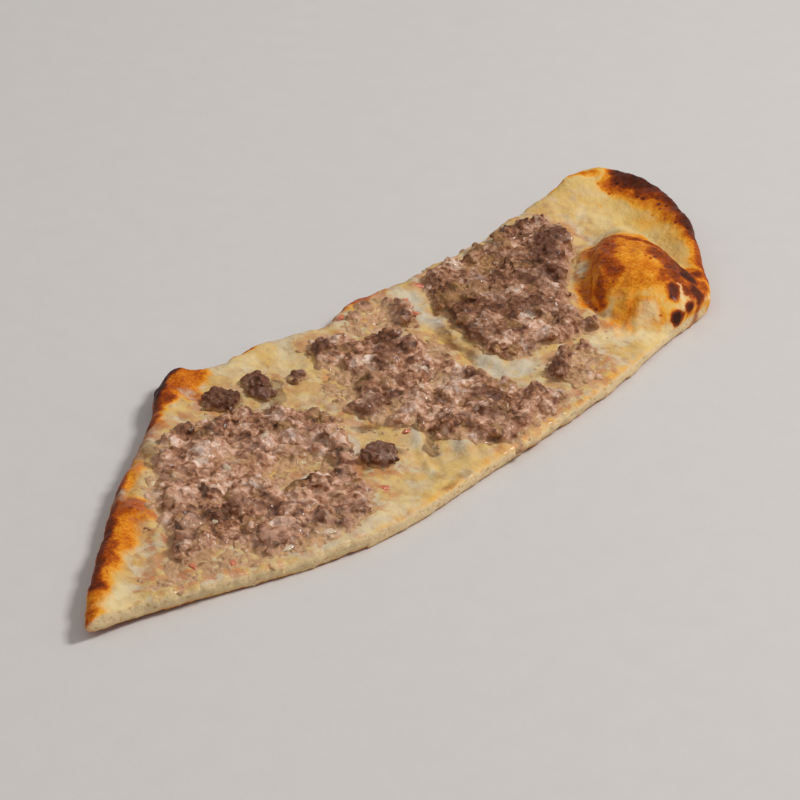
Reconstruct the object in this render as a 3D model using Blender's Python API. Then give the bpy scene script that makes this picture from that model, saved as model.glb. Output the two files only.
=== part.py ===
"""The end slice of a ground meat pide.

A thin sheet of baked dough with a raised crust round three sides, one long cut side and a big browned blister
at its round end. Minced meat is baked on top of it in patches.
"""

import math
import random

import bmesh
import bpy
import numpy as np
from mathutils import Euler, Matrix, Vector
from mathutils.geometry import delaunay_2d_cdt

MM = 0.001  # every size and place below is in millimetres

# Plan, seen from above. The sharp tip is near 0, 0 and the cut side runs along +X.
TIP = (-2.5, -2.0)
CUT_CORNER = (175.0, 0.0)
END_CORNER = (195.5, 52.5)
BACK_CORNER = (71.0, 51.5)
CUT_SIDE = (
    TIP, (18, -5.3), (36, -10.2), (52, -13.6), (68, -14.6), (84, -13), (104, -11), (131, -8.3), (158, -2.8),
    CUT_CORNER,
)
ROUND_END = (CUT_CORNER, (183.5, 8.5), (192, 18), (198.5, 28), (201.5, 38), (200.5, 47), END_CORNER)
BACK_SIDE = (
    BACK_CORNER, (79, 47), (90, 48.7), (105, 45.2), (120, 47.5), (139, 47.5), (160, 48.5), (180, 51.5),
    END_CORNER,
)
LEFT_SIDE = (TIP, (1.5, 2.2), (17, 14.8), (33, 27.5), (45, 34), (58, 43.5), (65, 49.5), BACK_CORNER)

# The dough sheet, and the crust that stands up round it.
SHEET = 3.0
WAVE = 0.35  # how far the sheet's surface goes up and down
WAVE_LENGTHS = (23.0, 31.0, 47.0)
TIP_LIFT = 1.2  # the two ends curl up off the table
TIP_LIFT_LENGTH = 26.0
END_LIFT = 1.6
END_LIFT_LENGTH = 27.0
CRUST = (  # millimetres along the crust from the tip, its height over the sheet, its width
    (0, 0.6, 6), (20, 2.3, 9), (60, 2.5, 9), (86, 3.2, 11), (100, 2.2, 9), (118, 1.3, 7),
    (180, 1.4, 8), (203, 3.0, 13), (224, 4.6, 15), (245, 4.9, 12), (262, 4.8, 10), (284, 2.6, 8),
)
CRUST_BUMP = 0.35
CRUST_BUMP_LENGTH = 11.0
CRUST_ROUND_TOP = 4.2  # how far in from the outline the crust's rounding reaches
CRUST_ROUND_UNDER = 3.0
SEAM_SHARE = 0.42  # height of the crust's widest line, as a share of its full height

# The blister, a big air bubble in the dough at the round end. Its back is steep, and so is its front where it
# meets the crust, but towards the cut side it falls gently.
BLISTER_CENTRE = (167.0, 13.0)
BLISTER_TURN = math.radians(49)
BLISTER_HEIGHT = 7.6
BLISTER_LENGTH = (17.5, 21.5)  # from its centre to its end by the cut side, and to its end by the crust
BLISTER_BACK = 11.5
BLISTER_FRONT = (18.0, 8.5)  # half width of its front at the same two ends
BLISTER_STEEP = (3.4, 0.65)  # the two powers of the dome's profile
BLISTER_GENTLE = (2.0, 1.3)
BLEND = 4  # how sharply the crust and the blister meet

# Mesh density of the dough: cells along and across, crowded towards the edges.
CELLS_ALONG = 58
CELLS_ACROSS = 20
CROWD_ALONG = 0.62
CROWD_ACROSS = 0.72
WALL_ROWS = 2

# The meat. Each patch is one baked-together mass: its thickness, then its outline.
MEAT = {
    "meat_left": (1.7, (
        (14, -2.8), (23, 3.8), (28, 11), (32, 19.5), (40.5, 27), (49.5, 32.5), (60, 33.5), (67, 31.5),
        (75, 29.3), (80.3, 24.5), (80.8, 16.5), (75.5, 10), (71.5, 3.8), (68, -4), (62.5, -10.2), (50, -12),
        (36, -8.9), (24, -5.6),
    )),
    "meat_middle": (1.8, (
        (93.5, 33.5), (96, 40.3), (102, 39.6), (106, 34.3), (113, 31), (118, 24.5), (115.8, 15), (116, 6),
        (119.8, -2), (122, -7.6), (112, -9.2), (101, -10.4), (93, -5.5), (89, 4), (86.3, 8.3), (84.4, 12.5),
        (84.4, 20), (86, 26.5), (90, 29.5),
    )),
    "meat_back": (1.2, (
        (107, 36), (107.5, 40.5), (112, 43.8), (120, 44.6), (126.5, 43), (125.5, 37.5), (121, 33),
        (113, 34),
    )),
    "meat_right": (2.5, (
        (129, 35.5), (133.5, 43.6), (146, 44.4), (160, 45.2), (170.5, 45.6), (174.5, 41), (172, 33.5),
        (164, 27.5), (155, 21), (149.5, 14), (147.5, 8), (142, 7), (134, 8.6), (126, 9.2), (122.5, 13.5),
        (123.3, 21), (126, 28),
    )),
    "meat_front": (1.6, (
        (122.8, 1.5), (127, 4.6), (133, 6.3), (140, 5.2), (141, 2), (138, -1.8), (131, -5.2), (125.4, -6.2),
        (123.1, -3),
    )),
}
MEAT_GAP = 0.45  # room between the meat and the dough under it
MEAT_EDGE = 3.0  # width of a patch's sloping edge
MEAT_EDGE_SHARE = 0.35  # height of a patch's very edge, as a share of its thickness
MEAT_WAVE = 0.2  # how far its surface goes up and down, as a share of its thickness
MEAT_WAVE_SCALE = 3.1  # how much shorter its waves are than the dough's
MEAT_CELL = 4.6  # size of the faces of a patch's surface
MEAT_ROW = 4.0
MEAT_CLEAR = 2.0  # how far those faces' corners stay from the patch's outline
OUTLINE_STEP = 3.6  # length of the faces round that outline
OUTLINE_SPAN = 6  # points worked out between two given points of an outline

# The crumbles of minced meat that stand out of each patch.
CRUMBLE_SPACING = 4.3
CRUMBLE_RADIUS = (1.5, 2.7)
CRUMBLE_INSET = 0.9  # how far a crumble's middle stays from the patch's outline
CRUMBLE_STRETCH = (1.0, 1.35)
CRUMBLE_FLATNESS = 0.8
CRUMBLE_RAGGED = 0.16
CRUMBLE_SINK = 0.15  # how far a crumble's middle is under the patch's surface, as a share of its radius
CRUMBLE_TRIES = 1200
CRUMBLE_DETAIL = 1  # an icosphere of 80 faces
CRUMBLE_SEED = 11

# Single crumbles that lie alone on bare dough: place, half length, half width, turn.
LONE_CRUMBLES = {
    "meat_crumble_corner": ((69.2, 36.2), 3.8, 3.3, 0),
    "meat_crumble_back": ((78.2, 35.2), 4.4, 2.7, 74),
    "meat_crumble_small": ((86.7, 33.3), 2.2, 1.8, 0),
    "meat_crumble_front": ((76.7, 2.2), 4.2, 3.0, 25),
}
LONE_RAGGED = 0.07
LONE_FLATNESS = 0.5
LONE_DETAIL = 2

SOLVER = "EXACT"  # joins crumbles to their patch
CREASE = 50  # degrees between two faces above which their edge stays sharp

DOUGH_COLOUR = (0.62, 0.37, 0.15)
MEAT_COLOUR = (0.28, 0.16, 0.10)
CRUMBLE_COLOUR = (0.16, 0.07, 0.04)


def smooth(share):
    """0 to 1, easing in and out, for a share that may run outside 0 to 1."""
    share = np.clip(share, 0.0, 1.0)
    return share * share * (3 - 2 * share)


def spline(points, closed=False, per_span=24):
    """A smooth line of closely spaced points through the given ones (centripetal Catmull-Rom)."""
    points = np.array(points, float)
    if closed:
        padded = np.vstack([points[-1], points, points[:2]])
    else:
        padded = np.vstack([2 * points[0] - points[1], points, 2 * points[-1] - points[-2]])
    line = []
    for before, start, end, after in zip(padded, padded[1:], padded[2:], padded[3:]):
        legs = ((before, start), (start, end), (end, after))
        knots = np.cumsum([0.0] + [math.sqrt(math.dist(a, b)) for a, b in legs])
        for t in np.linspace(knots[1], knots[2], per_span, endpoint=False):
            first = [
                (q * (t - k0) + p * (k1 - t)) / (k1 - k0)
                for p, q, k0, k1 in zip((before, start, end), (start, end, after), knots, knots[1:])
            ]
            second = [
                (q * (t - k0) + p * (k1 - t)) / (k1 - k0)
                for p, q, k0, k1 in zip(first, first[1:], knots, knots[2:])
            ]
            line.append((second[1] * (t - knots[1]) + second[0] * (knots[2] - t)) / (knots[2] - knots[1]))
    if not closed:
        line.append(points[-1])
    return np.array(line)


def lengths(line):
    """Distance along a line to each of its points."""
    return np.concatenate([[0.0], np.cumsum(np.hypot(*np.diff(line, axis=0).T))])


def at_shares(line, shares):
    """The points at these shares of a line's length."""
    along = lengths(line)
    wanted = np.asarray(shares) * along[-1]
    return np.stack([np.interp(wanted, along, line[:, axis]) for axis in (0, 1)], axis=-1)


def nearest_on(line, places):
    """For each place, its distance to a line and how far along the line the nearest point is."""
    starts, steps = line[:-1], np.diff(line, axis=0)
    size = (steps**2).sum(axis=1)
    away = places[:, None, :] - starts
    share = np.clip((away * steps).sum(axis=2) / size, 0, 1)
    distance = np.hypot(*np.moveaxis(away - share[:, :, None] * steps, 2, 0))
    best = distance.argmin(axis=1)
    rows = np.arange(len(places))
    return distance[rows, best], lengths(line)[best] + share[rows, best] * np.sqrt(size[best])


def inside(outline, places):
    """Whether each place lies within a closed outline."""
    x, y = places[:, :1], places[:, 1:]
    x0, y0 = outline.T
    x1, y1 = np.roll(outline, -1, axis=0).T
    crosses = ((y0 > y) != (y1 > y)) & (x < (x1 - x0) * (y - y0) / np.where(y1 == y0, 1, y1 - y0) + x0)
    return crosses.sum(axis=1) % 2 == 1


SIDES = {
    "cut": spline(CUT_SIDE),
    "end": spline(ROUND_END),
    "back": spline(BACK_SIDE),
    "left": spline(LEFT_SIDE),
}
CRUST_LINE = np.vstack([SIDES["left"], SIDES["back"][1:], SIDES["end"][-2::-1]])


def waves(places):
    """Slow unevenness of the dough sheet, from -1 to 1."""
    x, y = places.T
    total = sum(
        np.sin(2 * math.pi * (x * math.cos(1.3 * n) + y * math.sin(1.3 * n)) / length + 2.1 * n)
        for n, length in enumerate(WAVE_LENGTHS)
    )
    return total / len(WAVE_LENGTHS)


def lift(places):
    """How far the ends of the slice curl up off the table."""
    x = places[:, 0]
    by_tip = smooth(1 - x / TIP_LIFT_LENGTH)
    by_end = smooth(1 + (x - END_CORNER[0]) / END_LIFT_LENGTH)
    return TIP_LIFT * by_tip + END_LIFT * by_end


def blister(places):
    """Height of the blister over the sheet."""
    x, y = (places - np.array(BLISTER_CENTRE)).T
    along = x * math.cos(BLISTER_TURN) + y * math.sin(BLISTER_TURN)
    across = y * math.cos(BLISTER_TURN) - x * math.sin(BLISTER_TURN)
    by_crust = smooth(0.5 + along / BLISTER_LENGTH[1])
    front = BLISTER_FRONT[0] + (BLISTER_FRONT[1] - BLISTER_FRONT[0]) * by_crust
    half_length = np.where(along > 0, BLISTER_LENGTH[1], BLISTER_LENGTH[0])
    half_width = np.where(across > 0, BLISTER_BACK, front)
    share = np.clip(np.hypot(along / half_length, across / half_width), 0, 1)
    gentle = smooth(-across / front) * (1 - by_crust)
    inner, outer = (steep + (soft - steep) * gentle for steep, soft in zip(BLISTER_STEEP, BLISTER_GENTLE))
    return BLISTER_HEIGHT * (1 - share**inner) ** outer


def rounding(share):
    """Quarter-round profile from almost 0 at the edge to 1."""
    return np.sqrt(1 - (1 - np.clip(share, 0.02, 1)) ** 2)


def dough_heights(places):
    """Top and underside of the dough at each place."""
    distance, along = nearest_on(CRUST_LINE, places)
    stations, heights, widths = np.array(CRUST, float).T
    bumps = CRUST_BUMP * np.sin(2 * math.pi * along / CRUST_BUMP_LENGTH)
    height = np.interp(along, stations, heights) + bumps
    width = np.interp(along, stations, widths)
    rim = height * (1 - smooth(distance / width))
    raised = (np.maximum(rim, 0) ** BLEND + blister(places) ** BLEND) ** (1 / BLEND)
    full = SHEET + WAVE * waves(places) + raised
    seam = SEAM_SHARE * (SHEET + height)
    top = seam + (full - seam) * rounding(distance / CRUST_ROUND_TOP)
    under = seam * (1 - rounding(distance / CRUST_ROUND_UNDER))
    return top + lift(places), under + lift(places)


def crowd_to_ends(cells, amount):
    """Shares from 0 to 1 for this many cells, closer together near both ends."""
    even = np.linspace(0, 1, cells + 1)
    return even - amount * np.sin(2 * math.pi * even) / (2 * math.pi)


def dough_plan():
    """A grid of plan points that fills the outline: a Coons patch between the four sides."""
    u, v = crowd_to_ends(CELLS_ALONG, CROWD_ALONG), crowd_to_ends(CELLS_ACROSS, CROWD_ACROSS)
    cut, back = at_shares(SIDES["cut"], u)[:, None], at_shares(SIDES["back"], u)[:, None]
    left, end = at_shares(SIDES["left"], v)[None], at_shares(SIDES["end"], v)[None]
    u, v = u[:, None, None], v[None, :, None]
    corners = (
        (1 - u) * (1 - v) * np.array(TIP) + u * (1 - v) * np.array(CUT_CORNER)
        + (1 - u) * v * np.array(BACK_CORNER) + u * v * np.array(END_CORNER)
    )
    return (1 - v) * cut + v * back + (1 - u) * left + u * end - corners


def add_object(name, vertices, faces, material):
    """A mesh object from vertices in millimetres, with its faces turned outwards."""
    mesh = bpy.data.meshes.new(name)
    mesh.from_pydata([tuple(MM * c for c in v) for v in vertices], [], faces)
    shaped = bmesh.new()
    shaped.from_mesh(mesh)
    bmesh.ops.recalc_face_normals(shaped, faces=shaped.faces)
    shaped.to_mesh(mesh)
    shaped.free()
    mesh.materials.append(material)
    made = bpy.data.objects.new(name, mesh)
    bpy.context.scene.collection.objects.link(made)
    return made


def add_dough(material):
    """The dough: a top and an underside on one grid, joined round the outline by a low wall."""
    plan = dough_plan()
    columns, rows = plan.shape[:2]
    places = plan.reshape(-1, 2)
    top, under = dough_heights(places)
    vertices = [(*p, z) for p, z in zip(places, top)] + [(*p, z) for p, z in zip(places, under)]
    faces = []
    for i in range(columns - 1):
        for j in range(rows - 1):
            a, b, c, d = i * rows + j, (i + 1) * rows + j, (i + 1) * rows + j + 1, i * rows + j + 1
            faces += [(a, b, c, d), tuple(n + len(places) for n in (d, c, b, a))]
    ring = [i * rows for i in range(columns)]
    ring += [(columns - 1) * rows + j for j in range(1, rows)]
    ring += [i * rows + rows - 1 for i in range(columns - 2, -1, -1)]
    ring += [j for j in range(rows - 2, 0, -1)]
    levels = [ring]
    for row in range(1, WALL_ROWS):
        start = len(vertices)
        share = row / WALL_ROWS
        vertices += [(*places[n], top[n] + (under[n] - top[n]) * share) for n in ring]
        levels.append(list(range(start, len(vertices))))
    levels.append([n + len(places) for n in ring])
    for upper, lower in zip(levels, levels[1:]):
        for k in range(len(ring)):
            following = (k + 1) % len(ring)
            faces.append((upper[k], lower[k], lower[following], upper[following]))
    return add_object("dough", vertices, faces, material)


def meat_height(thickness, outline, places):
    """Height of a patch's surface over the dough."""
    distance, _ = nearest_on(np.vstack([outline, outline[:1]]), places)
    edge = MEAT_EDGE_SHARE + (1 - MEAT_EDGE_SHARE) * np.sqrt(smooth(distance / MEAT_EDGE))
    return MEAT_GAP + thickness * edge * (1 + MEAT_WAVE * waves(places * MEAT_WAVE_SCALE))


def add_core(name, thickness, outline, material):
    """The solid mass of a patch, under its crumbles."""
    steps = np.arange(0, 1, OUTLINE_STEP / lengths(outline)[-1])[:-1]
    border = at_shares(np.vstack([outline, outline[:1]]), steps)
    low, high = border.min(axis=0), border.max(axis=0)
    x, y = np.meshgrid(np.arange(low[0], high[0], MEAT_CELL), np.arange(low[1], high[1], MEAT_ROW))
    x[1::2] += MEAT_CELL / 2
    fill = np.stack([x.ravel(), y.ravel()], axis=1)
    closed = np.vstack([border, border[:1]])
    fill = fill[inside(border, fill) & (nearest_on(closed, fill)[0] > MEAT_CLEAR)]
    count = len(border)
    edges = [(k, (k + 1) % count) for k in range(count)]
    flat, _, triangles, *_ = delaunay_2d_cdt([Vector(p) for p in [*border, *fill]], edges, [], 1, 1e-5)
    places = np.array([tuple(p) for p in flat])
    base = dough_heights(places)[0]
    tops = base + meat_height(thickness, outline, places)
    vertices = [(*p, z) for p, z in zip(places, tops)] + [(*p, z + MEAT_GAP) for p, z in zip(places, base)]
    total = len(places)
    faces = [tuple(t) for t in triangles] + [tuple(n + total for n in reversed(t)) for t in triangles]
    faces += [(b, a, a + total, b + total) for a, b in edges]
    return add_object(name, vertices, faces, material)


def ball(detail, ragged, stretch, flatness, dice):
    """A rough little lump of radius 1, longer along X and flatter along Z: its vertices and faces."""
    shape = bmesh.new()
    bmesh.ops.create_icosphere(shape, subdivisions=detail, radius=1)
    turn = Euler([dice.uniform(0, 2 * math.pi) for _ in range(3)]).to_matrix()
    longer = Vector((stretch, 1, flatness))
    vertices = [(turn @ (v.co * (1 + ragged * dice.uniform(-1, 1)))) * longer for v in shape.verts]
    faces = [tuple(v.index for v in f.verts) for f in shape.faces]
    shape.free()
    return vertices, faces


def placed(vertices, place, height, size, turn):
    """A lump's vertices at its place, lifted where it would reach into the dough."""
    there = Matrix.Translation((*place, height)) @ Matrix.Rotation(turn, 4, "Z")
    vertices = [there @ (v * size) for v in vertices]
    dough = dough_heights(np.array([(v.x, v.y) for v in vertices]))[0]
    short = max(dough + MEAT_GAP - np.array([v.z for v in vertices]))
    rise = Vector((0, 0, max(short, 0)))
    return [v + rise for v in vertices]


def scattered(outline, spacing, margin, dice):
    """Places inside an outline, no two nearer than the spacing, drawn by throwing darts."""
    closed = np.vstack([outline, outline[:1]])
    low, high = outline.min(axis=0), outline.max(axis=0)
    darts = np.array([[dice.uniform(low[k], high[k]) for k in (0, 1)] for _ in range(CRUMBLE_TRIES)])
    darts = darts[inside(outline, darts) & (nearest_on(closed, darts)[0] > margin)]
    kept = []
    for dart in darts:
        if all(math.dist(dart, other) >= spacing for other in kept):
            kept.append(dart)
    return kept


def add_patch(name, thickness, points, material, dice):
    """One patch of meat: its core with the crumbles that show fused on."""
    outline = spline(points, closed=True, per_span=OUTLINE_SPAN)
    core = add_core(name, thickness, outline, material)
    crumbles = bpy.data.collections.new(name + "_crumbles")
    bpy.context.scene.collection.children.link(crumbles)
    for place in scattered(outline, CRUMBLE_SPACING, CRUMBLE_INSET, dice):
        radius = dice.uniform(*CRUMBLE_RADIUS)
        here = np.array([place])
        surface = (dough_heights(here)[0] + meat_height(thickness, outline, here))[0]
        stretch = dice.uniform(*CRUMBLE_STRETCH)
        vertices, faces = ball(CRUMBLE_DETAIL, CRUMBLE_RAGGED, stretch, CRUMBLE_FLATNESS, dice)
        turn = dice.uniform(0, math.pi)
        vertices = placed(vertices, place, surface - CRUMBLE_SINK * radius, radius, turn)
        piece = add_object("crumble", vertices, faces, material)
        bpy.context.scene.collection.objects.unlink(piece)
        crumbles.objects.link(piece)
    fuse(core, crumbles)
    return core


def fuse(core, crumbles):
    """Joins a collection's objects to a core as one solid, and removes them."""
    union = core.modifiers.new("crumbles", "BOOLEAN")
    union.operation = "UNION"
    union.operand_type = "COLLECTION"
    union.collection = crumbles
    union.solver = SOLVER
    graph = bpy.context.evaluated_depsgraph_get()
    joined = bpy.data.meshes.new_from_object(core.evaluated_get(graph))
    core.modifiers.clear()
    core.data = joined
    for piece in list(crumbles.objects):
        bpy.data.objects.remove(piece)
    bpy.data.collections.remove(crumbles)
    keep_largest_shell(joined)


def keep_largest_shell(mesh):
    """Drops loose scraps and fills sealed hollows: only the shell with most faces stays."""
    shaped = bmesh.new()
    shaped.from_mesh(mesh)
    waiting = set(shaped.faces)
    shells = []
    while waiting:
        shell = [waiting.pop()]
        for face in shell:
            found = {other for edge in face.edges for other in edge.link_faces} & waiting
            shell.extend(found)
            waiting -= found
        shells.append(shell)
    shells.sort(key=len)
    scraps = [face for shell in shells[:-1] for face in shell]
    bmesh.ops.delete(shaped, geom=scraps, context="FACES")
    shaped.to_mesh(mesh)
    shaped.free()


def add_lone_crumble(name, place, half_length, half_width, turn, material, dice):
    """A crumble of meat that lies alone on the dough."""
    vertices, faces = ball(LONE_DETAIL, LONE_RAGGED, half_length / half_width, LONE_FLATNESS, dice)
    height = dough_heights(np.array([place], float))[0][0]
    vertices = placed(vertices, place, height, half_width, math.radians(turn))
    return add_object(name, vertices, faces, material)


def shade(made, angle):
    """Smooth shading, with a crease wherever faces meet more sharply than the angle."""
    made.data.shade_smooth()
    made.data.set_sharp_from_angle(angle=math.radians(angle))


def finish(name, colour, roughness):
    """A plain material of this colour."""
    material = bpy.data.materials.new(name)
    material.use_nodes = True
    shader = material.node_tree.nodes["Principled BSDF"]
    shader.inputs["Base Color"].default_value = (*colour, 1)
    shader.inputs["Roughness"].default_value = roughness
    shader.inputs["Metallic"].default_value = 0
    return material


def centre_on_base(objects):
    """Moves the meshes so that the origin is under the middle of the whole slice."""
    corners = np.array([v.co for o in objects for v in o.data.vertices])
    low, high = corners.min(axis=0), corners.max(axis=0)
    shift = Matrix.Translation((-(low[0] + high[0]) / 2, -(low[1] + high[1]) / 2, -low[2]))
    for o in objects:
        o.data.transform(shift)


def main():
    for old in list(bpy.data.objects):
        bpy.data.objects.remove(old)
    dice = random.Random(CRUMBLE_SEED)
    made = [add_dough(finish("baked_dough", DOUGH_COLOUR, 0.6))]
    meat = finish("minced_meat", MEAT_COLOUR, 0.5)
    for name, (thickness, points) in MEAT.items():
        made.append(add_patch(name, thickness, points, meat, dice))
    browned = finish("browned_meat", CRUMBLE_COLOUR, 0.5)
    for name, sizes in LONE_CRUMBLES.items():
        made.append(add_lone_crumble(name, *sizes, browned, dice))
    centre_on_base(made)
    for piece in made:
        shade(piece, CREASE)


main()
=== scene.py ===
"""The looks of one end slice of a ground meat pide: baked dough with its browned crust and blister, and
minced meat in patches of real grains. Places on the slice are millimetres in its own plan, where x runs along
the cut side from the sharp tip and y goes back from it."""

import math

import bmesh
import bpy
import numpy as np
from bpy.props import FloatProperty, FloatVectorProperty, IntProperty, PointerProperty
from bpy.types import Operator, Panel, PropertyGroup
from mathutils import Matrix, Vector, noise
from mathutils.bvhtree import BVHTree
from mathutils.kdtree import KDTree


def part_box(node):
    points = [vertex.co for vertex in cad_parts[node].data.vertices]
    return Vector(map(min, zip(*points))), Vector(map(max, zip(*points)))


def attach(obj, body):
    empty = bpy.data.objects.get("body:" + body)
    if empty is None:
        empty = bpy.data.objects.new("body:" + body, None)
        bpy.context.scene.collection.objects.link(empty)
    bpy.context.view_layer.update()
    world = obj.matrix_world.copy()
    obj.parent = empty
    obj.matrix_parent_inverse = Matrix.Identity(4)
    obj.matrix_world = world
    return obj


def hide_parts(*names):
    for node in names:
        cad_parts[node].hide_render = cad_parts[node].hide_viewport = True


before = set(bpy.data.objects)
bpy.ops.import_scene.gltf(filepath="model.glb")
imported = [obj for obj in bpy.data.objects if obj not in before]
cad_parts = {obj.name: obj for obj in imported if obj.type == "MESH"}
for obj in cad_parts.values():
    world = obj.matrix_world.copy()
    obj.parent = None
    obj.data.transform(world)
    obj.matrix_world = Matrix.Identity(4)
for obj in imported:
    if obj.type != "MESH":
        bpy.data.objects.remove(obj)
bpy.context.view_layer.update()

bl_info = {
    "name": "Ground Meat Pide Slice",
    "version": (1, 0, 0),
    "blender": (4, 5, 0),
    "location": "3D View > Sidebar > Pide",
    "description": "One baked slice of pide with minced meat, made round its packed solids",
    "category": "Object",
}

MM = 0.001
PLAN_CORNER = (-2.5, -14.6)  # where the low corner of the dough's box lies in the slice's plan
CAD_LOW = np.array(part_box("dough")[0])
CUT_SIDE_END = 174  # where the cut side meets the round end, along x in the plan
OVER_ALL = 50 * MM  # a height over everything on the slice, from which heights are measured downwards
UP = Vector((0, 0, 1))
DOWN = Vector((0, 0, -1))
ROOT_DEPTH = 1.5 * MM  # how far the underside of a patch of meat reaches into the dough
CORE_DETAIL = 0.6 * MM  # size of the faces of a patch's core
CLUMP_DETAIL = 0.5 * MM  # size of the faces of the clumps, before the grains come on them
CRUMBLE_DETAIL = 0.22 * MM  # size of the faces of the lone crumbles
DOUGH_WANDER = 1.3  # how far the edges of what is painted on the dough wander, in millimetres
MEAT_WANDER = 0.9  # the same for the meat

# The meat patches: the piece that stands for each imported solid, how pink and how dark its meat is, how
# coarsely it was minced and how many times its surface is smoothed.
PATCHES = {
    "mince_left": ("meat_left", 0.3, -0.25, 0.95, 2),
    "mince_middle": ("meat_middle", 0.15, -0.05, 1.0, 2),
    "mince_back": ("meat_back", 0.3, 0.0, 0.85, 1),
    "mince_right": ("meat_right", -0.1, 0.26, 0.9, 1),
    "mince_front": ("meat_front", 0.15, 0.0, 0.95, 1),
}
LONE_CRUMBLES = ("meat_crumble_corner", "meat_crumble_back", "meat_crumble_small", "meat_crumble_front")
CRUMBLE_FLATNESS = 0.75  # height of the lone crumbles over the dough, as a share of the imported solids'
CRUMBLE_DARKNESS = 1.25  # over 1, so that the noise in the meat's finish leaves them dark all over

# Browning strokes on the dough: a path in the plan, the stroke's half width, and how brown, from 0 to 1 for
# char. The paths that have a name come back in other tables or are a form of their own.
LEFT_CRUST = ((6, 5.6), (14, 12.5), (25, 21), (33, 27.5))
CREST = ((195.2, 43), (195.4, 38.5), (195.6, 34), (194.4, 28.7), (192.6, 23), (190.6, 19))
CREST_OUTSIDE = ((199.5, 43), (201, 38), (198.5, 28), (192, 18.5), (189.5, 15))
BLISTER_BACK = ((171.5, 26), (167, 22.2), (163, 19.4), (159, 17.2), (155.5, 14.5))
# The dark line along the blister's far edge: slight browning and a painted shade line.
BLISTER_EDGE_BROWNING_AND_SHADE = ((171.6, 25.4), (173.9, 20.4), (174.5, 17.5), (174.7, 14.5), (174.2, 11))
BROWNING = (
    (LEFT_CRUST, 3.8, 0.68),
    (((-3, -2.5), (1, 1.4), (7, 6.6)), 3.0, 0.42),
    (((-1, -2), (5, 2.6)), 3.2, 0.24),
    (((12, 9.2), (17.4, 12.6)), 4.4, 0.54),
    (((16, 10.6), (22, 12.8)), 4.2, 0.34),
    (((26, 20.5), (29, 20.4)), 4.6, 0.5),
    (((29.8, 23.2), (31.8, 24.6)), 2.4, 0.5),
    (((31.5, 25.4), (33, 26.6)), 2.6, 0.56),
    (((33, 27.5), (47, 36), (54, 40)), 3.0, 0.56),
    (((8, 6.2), (12.2, 8.6), (21, 14), (28, 18.4), (29.6, 17)), 4.8, 0.33),
    (((28.4, 18.4), (31, 19.4)), 3.0, 0.4),
    (((32.7, 24.5), (39.5, 29.7)), 3.2, 0.3),
    (((50.4, 36.6), (52.4, 37)), 2.6, 0.34),
    (((57, 41.5), (60.5, 43)), 3.2, 0.6),
    (((58, 43), (63, 48)), 3.2, 0.72),
    (((62, 45), (66, 44.5), (73, 47)), 4.6, 0.42),
    (((65.5, 41.5), (67.5, 39.5)), 3.0, 0.4),
    (((56.5, 43), (61.5, 46.6), (65.5, 48.8), (70, 50)), 3.2, 0.92),
    (((62, 48.5), (66, 51.5), (71, 52.5), (75, 51)), 3.4, 0.95),
    (((84, 48), (90, 49)), 3, 0.5),
    (((90, 49.5), (97, 48)), 2.2, 0.66),
    (((105, 45.5), (125, 47)), 2.4, 0.5),
    (((180, 53), (187, 52)), 2.4, 0.42),
    (((189.5, 51.6), (194, 48.6)), 2.6, 0.34),
    (CREST, 5.0, 0.42),
    (((190, 20), (187, 15.5), (184, 11.5)), 3.4, 0.3),
    (((189.6, 29), (189.4, 24), (187.4, 19)), 4.0, 0.13),
    (((198.2, 42.2), (198.8, 39), (199.2, 35.5)), 6.6, 0.8),
    (((198.6, 38), (198.6, 32), (196.4, 26), (193.4, 21)), 6.0, 0.72),
    (((195.6, 36), (195.4, 31)), 3.2, 0.62),
    (CREST_OUTSIDE, 4.8, 0.82),
    (((190, 16), (184, 9.5), (179, 4.5)), 4.0, 0.54),
    (((171.4, 20), (167, 13.5), (163, 9)), 11.5, 0.32),  # the blister's golden top
    (BLISTER_BACK, 6.2, 0.43),
    (((171, 24.5), (167, 21.6), (162.5, 19)), 3.8, 0.5),
    (((157, 15.2), (154.6, 12.5)), 3.2, 0.52),
    (((161.8, 17.4), (160.4, 14.8)), 3.8, 0.54),
    (((172.4, 13), (174, 9), (172, 5)), 5.8, 0.55),
    (((173.4, 8.4), (172, 4.6)), 3.6, 0.66),
    (((168, 5.6), (164.6, 4.8)), 4.4, 0.5),
    # Slight browning and a painted shade line along the blister's far edge.
    (BLISTER_EDGE_BROWNING_AND_SHADE, 2.5, 0.52),
    (((172.6, 11), (171, 7), (167.4, 3.8)), 4.6, 0.6),
    (((177.2, 8.4), (175.6, 6.6)), 2.8, 0.45),
    (((155.8, 5.6), (156.8, 3.8)), 3.0, 0.3),
    (((151, 3.4), (153.6, 6.8)), 4.2, 0.27),
    (((156, 2.4), (158, 1.0)), 3.4, 0.26),
    (((168, -0.2), (174.5, 2.6)), 3.4, 0.5),
    (((115, -9.8), (60, -14.8)), 2.2, 0.14),
    (((67.5, 40.5), (68.5, 38)), 3.0, 0.42),
    (((91.6, 29.3), (93, 29.6)), 1.7, 0.2),
    (((120, -9.7), (150, -5)), 1.6, 0.16),
)
# Dark spots on the blister's round end: place in the plan, radius and how brown.
SPOTS = (
    ((163.6, 1.7), 3.0, 0.68),
    ((171.9, 4.2), 4.8, 0.78),
    ((176.0, 6.0), 3.4, 0.6),
    ((169.8, -0.4), 4.2, 0.7),
    ((166.9, 0.8), 2.3, 0.56),
    ((161.2, -2.0), 3.0, 0.84),
    ((165.6, -1.8), 2.4, 0.68),
)
# Where the browned dough is freckled with small dark spots: a path, half width and how densely.
FRECKLES = (
    (BLISTER_BACK, 5.5, 1.0),
    (((170, 17), (170.6, 10), (168, 5.5)), 4.5, 0.9),
    (CREST, 6.5, 0.9),
    (((186, 47), (188, 42)), 6, 0.5),
    (((160, 4), (155, 0)), 6, 0.5),
    (((57, 41.5), (66, 46)), 5, 0.4),
)
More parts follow.
